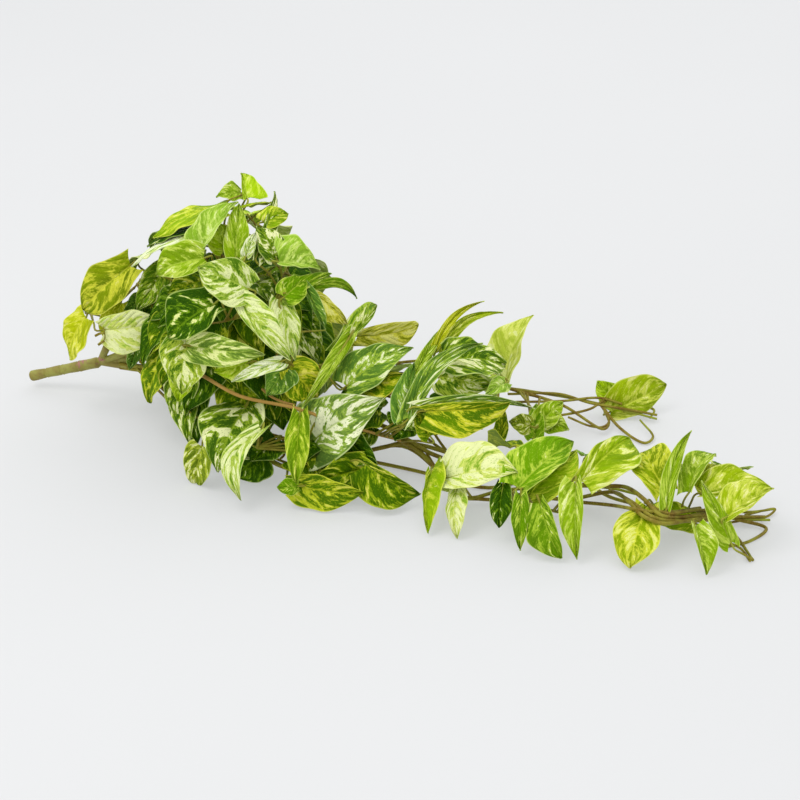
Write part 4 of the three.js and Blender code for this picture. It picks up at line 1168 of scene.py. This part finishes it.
moved = sums.node("GeometryNodeSetPosition", Geometry=given["Geometry"], Offset=shift.outputs[0])
close_tree(sums, moved.outputs[0], given["Finish"])

# %% [markdown]
# ## Wires
# Vines, stalks and midribs are all round wires that follow a path and change in thickness. They are
# drawn as thin edge lines with a thickness at each point; one tree turns the lines into curves,
# roughens their thickness a little, and sweeps a circle along them.

# %% The wire tree
WIRE_SIDES = 10
LUMP_SCALE = 140.0
wires, sums, given = new_tree("wires", {"Thickness": 1.0, "Unevenness": 0.12})
curve = sums.node("GeometryNodeMeshToCurve", Mesh=given["Geometry"])
uneven = sums("ADD", 1.0, sums.centred(sums.noise(LUMP_SCALE, SMOOTH_DETAIL), given["Unevenness"]))
radius = sums("MULTIPLY", sums("MULTIPLY", named(sums, "thick"), given["Thickness"]), uneven)
ring = sums.node("GeometryNodeCurvePrimitiveCircle", Resolution=WIRE_SIDES, Radius=1.0)
swept = sums.node(
    "GeometryNodeCurveToMesh", Curve=curve.outputs[0], Profile_Curve=ring.outputs[0],
    Scale=radius, Fill_Caps=True)
soft = sums.node("GeometryNodeSetShadeSmooth", Geometry=swept.outputs[0])
close_tree(sums, soft.outputs[0], given["Finish"])

# %% [markdown]
# ## Running a tree on a piece
# A modifier's input is set by its identifier. The evaluated result becomes the piece's own mesh and
# the modifiers go, so that the piece is a plain mesh whose place is in its vertices.

# %% Helpers that make a finished piece
VALUE_FIELDS = {"FLOAT": "value", "FLOAT_VECTOR": "vector", "FLOAT_COLOR": "color"}


def new_piece(name, places, edges, faces):
    mesh = bpy.data.meshes.new(name)
    mesh.from_pydata([tuple(q) for q in places], edges, faces)
    piece = bpy.data.objects.new(name, mesh)
    scene.collection.objects.link(piece)
    return piece


def write(mesh, label, kind, values):
    """Values at the points of a mesh, under a label that materials and trees can read."""
    layer = mesh.attributes.new(label, kind, "POINT")
    layer.data.foreach_set(VALUE_FIELDS[kind], np.asarray(values, np.float32).ravel())


def add_tree(piece, tree, **values):
    modifier = piece.modifiers.new(tree.name, "NODES")
    modifier.node_group = tree
    items = tree.interface.items_tree
    ids = {item.name: item.identifier for item in items if item.in_out == "INPUT"}
    for label, value in values.items():
        modifier[ids[label]] = value


def bake_down(piece):
    bpy.context.view_layer.update()
    graph = bpy.context.evaluated_depsgraph_get()
    made = bpy.data.meshes.new_from_object(
        piece.evaluated_get(graph), preserve_all_data_layers=True, depsgraph=graph)
    piece.modifiers.clear()
    old = piece.data
    piece.data = made
    made.name = piece.name
    bpy.data.meshes.remove(old)
    made.shade_smooth()
    print(piece.name, sum(len(face.vertices) - 2 for face in made.polygons), "triangles")
    return made


print("points can carry", sorted(VALUE_FIELDS))

# %% [markdown]
# ## Making the leaves of each vine
# All blades of a vine are one piece. The grid and the colouring go with the points. Quilting comes
# first, then a Solidify modifier gives the blade its thickness and its paler underside.

# %% Leaves
BLADE_THICK = 0.0006
LEAST_HEIGHT_MM = 1.6
SEED_STRIDE = 3.7
SHARP_EDGE = math.radians(50)


def leaf_piece(vine_name):
    places, faces, blade, shares = [], [], [], []
    colours = {"ground": [], "halo": [], "cream": []}
    for leaf in bush_leaves[vine_name]:
        at, s, v = blade_grid(leaf)
        at[:, 2] = np.maximum(at[:, 2], LEAST_HEIGHT_MM)
        faces += blade_faces(sum(len(p) for p in places))
        places.append(to_metres(at))
        blade.append(np.stack([s, v, np.zeros_like(s)], 1))
        *tone, halo_share, cream_share = TONES[leaf["tone"]]
        for store, colour in zip(colours.values(), tone):
            store.append(np.tile(linear(*colour), (len(s), 1)))
        shares.append(np.tile((halo_share, cream_share, SEED_STRIDE * leaf["i"]), (len(s), 1)))
    piece = new_piece(vine_name.replace("vine", "leaves"), np.vstack(places), [], faces)
    write(piece.data, "blade", "FLOAT_VECTOR", np.vstack(blade))
    write(piece.data, "shares", "FLOAT_VECTOR", np.vstack(shares))
    for label, store in colours.items():
        write(piece.data, label, "FLOAT_COLOR", np.vstack(store))
    piece.data.materials.append(leaf_face)
    piece.data.materials.append(leaf_back)
    add_tree(piece, quilting, Finish=leaf_face)
    thick = piece.modifiers.new("thickness", "SOLIDIFY")
    thick.thickness, thick.offset, thick.material_offset = BLADE_THICK, -1.0, 1
    bake_down(piece).set_sharp_from_angle(angle=SHARP_EDGE)
    return piece


leaf_pieces = {vine_name: leaf_piece(vine_name) for vine_name in VINES}

# %% [markdown]
# ## Bark of vines and stalks
# Stalks are fresh green, vines weather to olive brown, and the one over the front is tan. The lines
# carry how green each point is, less than 0 for tan, and noise along the wire breaks it up. Pale
# specks in the grain are partly dust and partly a painted highlight.

# %% Bark finish
BARK_ROUGHNESS, BARK_ROUGHNESS_RANGE = 0.45, 0.3
BROWN, OLIVE, DUST_AND_HIGHLIGHT = linear(112, 88, 20), linear(134, 116, 34), linear(180, 156, 84)
GREENS = (linear(128, 146, 30), linear(164, 178, 64))
TANS = (linear(160, 122, 48), linear(196, 158, 90))
bark_finish, sums, shader = new_material("vine bark", roughness=0.6, specular=0.2)
fresh = sums.read("fresh", "Fac")
where = sums.node("ShaderNodeTexCoord").outputs["Object"]
mottle = sums.noise(scale=60.0, detail=4.0, where=where)
grain = sums.noise(scale=420.0, detail=3.0, where=where)
wood = sums.mix(sums.step(mottle, low=0.4, high=0.62), BROWN, OLIVE)
# Pale specks along the grain: partly dust, partly a painted highlight on the wires.
wood = sums.layer(wood, DUST_AND_HIGHLIGHT, sums.step(grain, low=0.5, high=0.75), strength=0.5)
tan_share = sums("MULTIPLY", fresh, -1.0, clamp=True)
wood = sums.mix(tan_share, wood, sums.mix(mottle, *TANS))
leafy = sums("ADD", fresh, sums("SUBTRACT", mottle, 0.5), clamp=True)
colour = sums.mix(leafy, wood, sums.mix(mottle, *GREENS))
rough = sums.between(grain, BARK_ROUGHNESS, BARK_ROUGHNESS_RANGE)
close_finish(sums, shader, colour, rough, grain, strength=0.4, depth=0.0004)
print("vine bark", len(bark_finish.node_tree.nodes), "nodes")

# %% [markdown]
# ## Loose strands
# Thin stems stand beside the main routes: bare loops, crossings, and the buds on the left with their
# stalks. They are too thin to matter in the solids. Each is a route with a thickness, and a greater
# height brings it nearer to the viewer.

# %% Strands beside the vines
EXTRA_STRANDS = {
    "vine_left": [
        ([(103, 327, 150), (104.5, 332, 145), (104.8, 338, 137), (103, 342, 132)], 0.8),
        ([(104, 333, 145), (100, 333.5, 144), (95, 336, 141)], 1.6),
        ([(104, 341, 134), (101, 343, 131), (98, 345, 129)], 1.6),
        ([(151, 302, 150), (154, 308, 146), (158, 314, 142)], 0.9),
    ],
    "vine_crown": [
        ([(225, 203, 317), (231, 199, 325), (240, 195.5, 326), (244, 194, 324)], 0.9),
        ([(201, 267, 200), (210, 256, 216), (226, 244, 236)], 1.1),
        ([(280, 290, 180), (290, 277, 196), (300, 265, 210)], 1.1),
    ],
    "vine_front": [
        ([(140, 362, 60), (154, 370, 66), (166, 380, 70)], 1.7),
        ([(140, 366, 56), (154, 366, 62), (165, 366, 70)], 1.6),
        ([(137, 369, 52), (152, 384, 56), (170, 402, 58)], 1.8),
        ([(237, 354, 140), (226, 362, 136), (215, 369, 130), (209, 372, 126), (208, 376, 122)], 1.2),
    ],
    "vine_heart": [
        ([(262, 389, 118), (272, 397, 114), (283, 402, 110), (295, 405, 106)], 1.6),
    ],
    "vine_lower": [
        ([(250, 444, 36), (262, 452, 30), (275, 462, 24), (290, 467, 22), (318, 463, 24)], 2.1),
        ([(262, 447, 34), (275, 458, 28), (287, 463, 26)], 1.7),
        ([(283, 440, 44), (284, 455, 34), (280, 459, 30)], 1.6),
        ([(342, 458, 26), (355, 455, 30), (368, 451, 34), (385, 447, 38), (403, 443, 42),
           (425, 446, 38),
          (446, 452, 32)], 2.7),
        ([(362, 433, 58), (380, 434, 56), (395, 438, 50), (407, 444, 44), (420, 452, 36),
           (432, 465, 26),
          (443, 477, 17)], 2.8),
        ([(374, 423, 66), (388, 428, 60), (403, 438, 50), (412, 442, 46), (428, 452, 36),
           (442, 458, 30)], 2.8),
        ([(384, 415, 70), (392, 424, 62), (402, 434, 52), (410, 441, 46)], 2.2),
        ([(409, 420, 62), (420, 431, 50), (433, 443, 40), (445, 451, 33)], 1.8),
        ([(432, 420, 56), (434, 432, 48), (440, 442, 40), (446, 450, 33)], 1.8),
        ([(425, 450, 37), (432, 462, 27), (438, 471, 20)], 1.7),
        ([(371, 413, 72), (377, 414, 70), (380, 420, 66), (375, 425, 64), (368, 424, 66)], 2.0),
        ([(543, 490, 18), (558, 485, 24), (605, 486, 36), (625, 487, 44), (645, 500, 52),
           (660, 515, 52),
          (680, 517, 36), (700, 515, 26), (725, 514, 18)], 2.6),
        ([(578, 502, 10), (610, 505, 24), (634, 509, 50), (652, 512, 52), (672, 512, 44),
           (700, 508, 20)], 2.2),
        ([(540, 497, 12), (570, 499, 12), (610, 492, 24), (630, 503, 46), (643, 516, 50),
           (660, 523, 48),
          (690, 520, 28), (712, 516, 18)], 2.4),
    ],
    "vine_upper": [
        ([(508, 394, 50), (560, 394, 40), (590, 403, 26), (625, 409, 18), (657, 415, 9)], 1.7),
        ([(515, 402, 40), (562, 401, 36), (600, 398, 28), (622, 404, 20)], 1.7),
        ([(551, 417, 20), (590, 409, 22), (612, 396, 26), (640, 402, 18), (652, 408, 12)], 1.7),
        ([(568, 417, 20), (590, 426, 12), (602, 427, 10), (609, 421, 10), (604, 410, 18)], 1.5),
    ],
    "vine_tip": [
        ([(645, 502, 50), (665, 513, 50), (700, 510, 28), (730, 516, 14), (765, 517, 6)], 2.2),
        ([(610, 490, 22), (632, 502, 46), (655, 518, 51), (690, 521, 26), (716, 519, 10)], 2.3),
        ([(745, 515, 8), (775, 509, 6), (768, 516, 3), (745, 520, 3), (722, 524, 3)], 1.5),
        ([(727, 542, 3), (740, 548, 2), (750, 561, 2)], 1.5),
    ],
}
print(sum(len(strands) for strands in EXTRA_STRANDS.values()), "strands")

# %% [markdown]
# ## Lines, and the line of a stalk
# Each wire is a list of points with a thickness and a freshness. A stalk leaves the vine, swings
# into the line of its leaf and goes on as the raised midrib on the underside.

# %% Lines and stalks
RIB_S = np.linspace(0.04, 0.8, 9)
RIB_DROP, ROOT_DROP = 1.8, 0.5
STALK_SAG = 0.06
STALK_STEPS = 4
# share of the length: thickness in mm, and share: freshness
STALK_THICK = ((0, 0.06, 0.3, 0.45, 1), (1.9, 1.35, 1.15, 1.05, 0.3))
STALK_FRESH = ((0, 0.25, 0.5, 1), (0.25, 0.6, 0.95, 1.0))


class Lines:
    """Collects lines of points, with thickness and freshness at each point."""

    def __init__(self):
        self.places, self.edges, self.thick, self.fresh = [], [], [], []

    def add(self, places, thick, fresh):
        first, count = len(self.places), len(places)
        self.places += list(places)
        self.edges += [(first + k, first + k + 1) for k in range(count - 1)]
        self.thick += list(np.broadcast_to(thick, count) / MM_PER_METRE)
        self.fresh += list(np.broadcast_to(fresh, count))


def stalk_line(leaf):
    joint, root, over = leaf["joint"], leaf["root"], leaf["z"]
    lead = root - leaf["x"] * PETIOLE_LEAD
    middle = joint + (lead - joint) * 0.5 + over * STALK_SAG * np.linalg.norm(lead - joint)
    rib = blade_place(leaf, RIB_S, np.zeros(len(RIB_S))) - over * RIB_DROP
    points = smooth([joint, middle, lead, root - over * ROOT_DROP, *rib], STALK_STEPS)
    share = np.linspace(0, 1, len(points))
    return points, np.interp(share, *STALK_THICK), np.interp(share, *STALK_FRESH)


print(len(stalk_line(bush_leaves["vine_left"][0])[0]), "points on a stalk")

# %% [markdown]
# ## Vines, stalks and midribs
# A vine starts inside its fork, thins towards its end and swells where a stalk joins it. Its
# branches are a little thinner. All wires of a vine are one piece.

# %% Wires
FINE_STEPS = 8
FORK_SHOWN, FORK_FOOT = 0.5, 0.2
SWELL, SWELL_REACH = 0.28, 3.5
BRANCH_SHARE = 0.85
VINE_TAPER = ((0, 0.7, 1), (1, 0.85, 0.6))
TAN_VINE, TAN = "vine_heart", -0.8
OLD_FRESH, YOUNG_FRESH, STRAND_FRESH = 0.12, 0.6, 0.2
TABLE_CLEARANCE = 0.1


def vine_lines(vine_name, lines):
    fork, socket, mass, thick, route, branches = VINES[vine_name]
    tan = vine_name == TAN_VINE
    reach = np.linalg.norm(FORKS[fork] - PICK_CROWN)
    foot = [socket_place(fork, socket, out) for out in (-FORK_SHOWN * reach, -FORK_FOOT * reach, 0)]
    joints = np.array([leaf["joint"] for leaf in bush_leaves[vine_name]])
    for n, points in enumerate(vine_curves(vine_name, FINE_STEPS)):
        points = np.vstack([foot, points]) if n == 0 else points
        share = np.linspace(0, 1, len(points))
        near = np.linalg.norm(points[:, None] - joints[None], axis=2).min(1)
        swell = 1 + SWELL * np.exp(-((near / SWELL_REACH) ** 2))
        start = thick if n == 0 else BRANCH_SHARE * thick
        fresh = TAN if tan else OLD_FRESH + YOUNG_FRESH * share**3
        lines.add(points, start * swell * np.interp(share, *VINE_TAPER), fresh)
    for places, strand in EXTRA_STRANDS.get(vine_name, []):
        points = smooth([placed(q) for q in places], FINE_STEPS)
        lines.add(points, strand, TAN if tan else STRAND_FRESH)


def wire_piece(vine_name):
    lines = Lines()
    vine_lines(vine_name, lines)
    for leaf in bush_leaves[vine_name]:
        lines.add(*stalk_line(leaf))
    at = np.array(lines.places)
    at[:, 2] = np.maximum(at[:, 2], MM_PER_METRE * np.array(lines.thick) + TABLE_CLEARANCE)
    piece = new_piece(vine_name.replace("vine", "wires"), to_metres(at), lines.edges, [])
    write(piece.data, "thick", "FLOAT", lines.thick)
    write(piece.data, "fresh", "FLOAT", lines.fresh)
    add_tree(piece, wires, Finish=bark_finish)
    bake_down(piece)
    return piece


wire_pieces = {vine_name: wire_piece(vine_name) for vine_name in VINES}

# %% [markdown]
# ## A rod turned about its line
# The pick and its forks start as turned rods: a radius at each station along a line, closed at both
# ends. Blender's Spin could do this too, but writing the points keeps the normals outwards.

# %% Turned rods
TURN_STEPS = 40


def turned_rod(start, end, stations, radii):
    """Points and faces of a closed rod: radii at stations along the line from start to end."""
    along, side, over = line_frame(start, end)
    angles = np.linspace(0, 2 * math.pi, TURN_STEPS, endpoint=False)
    circle = np.outer(np.cos(angles), side) + np.outer(np.sin(angles), over)
    points = [start + along * stations[0]]
    faces = []
    for k, (station, radius) in enumerate(zip(stations, radii)):
        points += list(start + along * station + circle * radius)
        for a in range(TURN_STEPS):
            b = (a + 1) % TURN_STEPS
            if k == 0:
                faces.append((0, 1 + b, 1 + a))
            else:
                low, high = 1 + (k - 1) * TURN_STEPS, 1 + k * TURN_STEPS
                faces.append((low + a, low + b, high + b, high + a))
    last = 1 + (len(radii) - 1) * TURN_STEPS
    points.append(start + along * stations[-1])
    faces += [(last + a, last + (a + 1) % TURN_STEPS, len(points) - 1) for a in range(TURN_STEPS)]
    return points, faces


print(TURN_STEPS, "points round a rod")

# %% [markdown]
# ## Profiles of pick and forks
# The pick is a little uneven and swells towards its crown. A cut ring is a narrow groove with a low
# rim beside it. The cut end flares slightly and is rounded off. A fork is plain, with a wider mouth.

# %% Profiles
PICK_RADIUS, PICK_STATIONS = 6.2, 120
PICK_RINGS = (24, 48, 74)
RING_DEPTH, RING_HALF = 1.3, 0.8
RIM_HEIGHT, RIM_HALF, RIM_OFFSET = 0.35, 1.4, 2.0
UNEVENNESS, UNEVEN_STEP, GROWTH = 0.25, 5.3, 0.012
FLARE, FLARE_REACH = 0.9, 20
# mm from the cut end: share of the radius, and the same at the crown
CUT_END = ((0, 0.8, 2.2), (0.72, 0.9, 1))
BEFORE_CROWN, PAST_CROWN, CROWN_SHARE = 4, 3, 0.45
FORK_RADIUS, MOUTH_RADIUS, MOUTH_BEVEL = 4.4, 5.2, 1.2
MOUTH_LENGTH, BEVEL_LENGTH = 3, 0.8
FORK_STATIONS, FORK_BURIED = 24, 0.6


def bump_at(stations, place, half):
    return np.exp(-(((stations - place) / half) ** 2))


def pick_profile(length):
    stations = np.linspace(0, length + PAST_CROWN, PICK_STATIONS)
    radii = np.full(PICK_STATIONS, PICK_RADIUS)
    radii = radii + UNEVENNESS * np.sin(stations / UNEVEN_STEP) + GROWTH * stations
    for ring in PICK_RINGS:
        radii -= RING_DEPTH * bump_at(stations, ring, RING_HALF)
        radii += RIM_HEIGHT * bump_at(stations, ring + RIM_OFFSET, RIM_HALF)
    radii += FLARE * bump_at(stations, 0, FLARE_REACH)
    ends = (*CUT_END[0], length - BEFORE_CROWN, length + PAST_CROWN)
    return stations, radii * np.interp(stations, ends, (*CUT_END[1], 1, CROWN_SHARE))


def fork_profile(length):
    stations = np.linspace(0, length, FORK_STATIONS)
    turns = (0, length - MOUTH_LENGTH, length - BEVEL_LENGTH, length)
    radii = (FORK_RADIUS, MOUTH_RADIUS, MOUTH_RADIUS, MOUTH_RADIUS - MOUTH_BEVEL)
    return stations, np.interp(stations, turns, radii)


print(len(PICK_RINGS), "rings on the pick")

# %% [markdown]
# ## The moulded pick
# The pick is one moulding: a ringed rod that swells into a crown, and four forks out of it. A voxel
# remesh melts the rods into one skin with soft inner corners, which is what a mould gives.

# %% Pick and forks
VOXEL = 0.00045
rod_length = np.linalg.norm(PICK_CROWN - PICK_END)
pick_points, pick_faces = turned_rod(PICK_END, PICK_CROWN, *pick_profile(rod_length))
for fork_end in FORKS.values():
    length = np.linalg.norm(fork_end - PICK_CROWN) * (1 - FORK_BURIED * FORK_SHOWN)
    points, faces = turned_rod(PICK_CROWN, fork_end, *fork_profile(length))
    first = len(pick_points)
    pick_points += points
    pick_faces += [tuple(first + k for k in face) for face in faces]
pick = new_piece("pick", to_metres(pick_points), [], pick_faces)
melt = pick.modifiers.new("melt", "REMESH")
melt.mode, melt.voxel_size = "VOXEL", VOXEL
soften = pick.modifiers.new("soften", "SMOOTH")
soften.factor, soften.iterations = 0.5, 3
pick_mesh = bake_down(pick)

# %% [markdown]
# ## Finish of the pick
# Olive-brown plastic, greener in places, with rubbed magenta marks near the rings and brown dust in
# its grain. The marks are soft balls round four places, roughened by noise.

# %% Pick finish
# place, reach in mm
MARKS = [
    (seen(50, 369, 24), 5.0),
    (seen(79, 364, 44), 6.0),
    (seen(84, 362, 46), 6.0),
    (seen(100, 361, 54), 7.0),
]
PLASTIC = (linear(134, 122, 50), linear(150, 150, 66))
GRIME, MAGENTA = linear(112, 84, 50), linear(186, 84, 128)
MARK_ROUGHNESS = 3.2
PICK_ROUGHNESS, PICK_ROUGHNESS_RANGE = 0.42, 0.3
pick_finish, sums, shader = new_material("moulded pick", roughness=0.55, specular=0.4)
where = sums.node("ShaderNodeTexCoord").outputs["Object"]
mottle = sums.noise(scale=45.0, detail=4.0, where=where)
grain = sums.noise(scale=260.0, detail=4.0, where=where)
base = sums.mix(sums.step(mottle, low=0.35, high=0.65), *PLASTIC)
base = sums.layer(base, GRIME, sums.step(grain, low=0.52, high=0.7), strength=0.4)
stain = 0.0
for place, reach in MARKS:
    apart = sums.node("ShaderNodeVectorMath")
    apart.operation = "DISTANCE"
    sums.plug(where, apart.inputs[0])
    apart.inputs[1].default_value = to_metres(place)
    near = sums("SUBTRACT", 1.0, sums("DIVIDE", apart.outputs["Value"], reach / MM_PER_METRE))
    stain = sums("MAXIMUM", stain, sums("ADD", near, sums.centred(grain, MARK_ROUGHNESS)))
base = sums.layer(base, MAGENTA, sums.step(stain, low=0.1, high=0.9), strength=0.5)
rough = sums.between(grain, PICK_ROUGHNESS, PICK_ROUGHNESS_RANGE)
close_finish(sums, shader, base, rough, grain, strength=0.35, depth=0.0005)
pick_mesh.materials.append(pick_finish)
print("moulded pick", len(pick_finish.node_tree.nodes), "nodes")

# %% [markdown]
# ## Handing the pieces over
# The bush has no joints, so every piece rides on the one body. Leaves and wires of a vine take the
# place of its solid, which is hidden, and the pick takes the place of the stem.

# %% Ride, and the solids that are hidden
for vine_name in VINES:
    for piece, slot in ((leaf_pieces[vine_name], "foliage"), (wire_pieces[vine_name], "stem")):
        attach(piece, "root")
        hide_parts(vine_name)
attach(pick, "root")
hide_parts("stem")
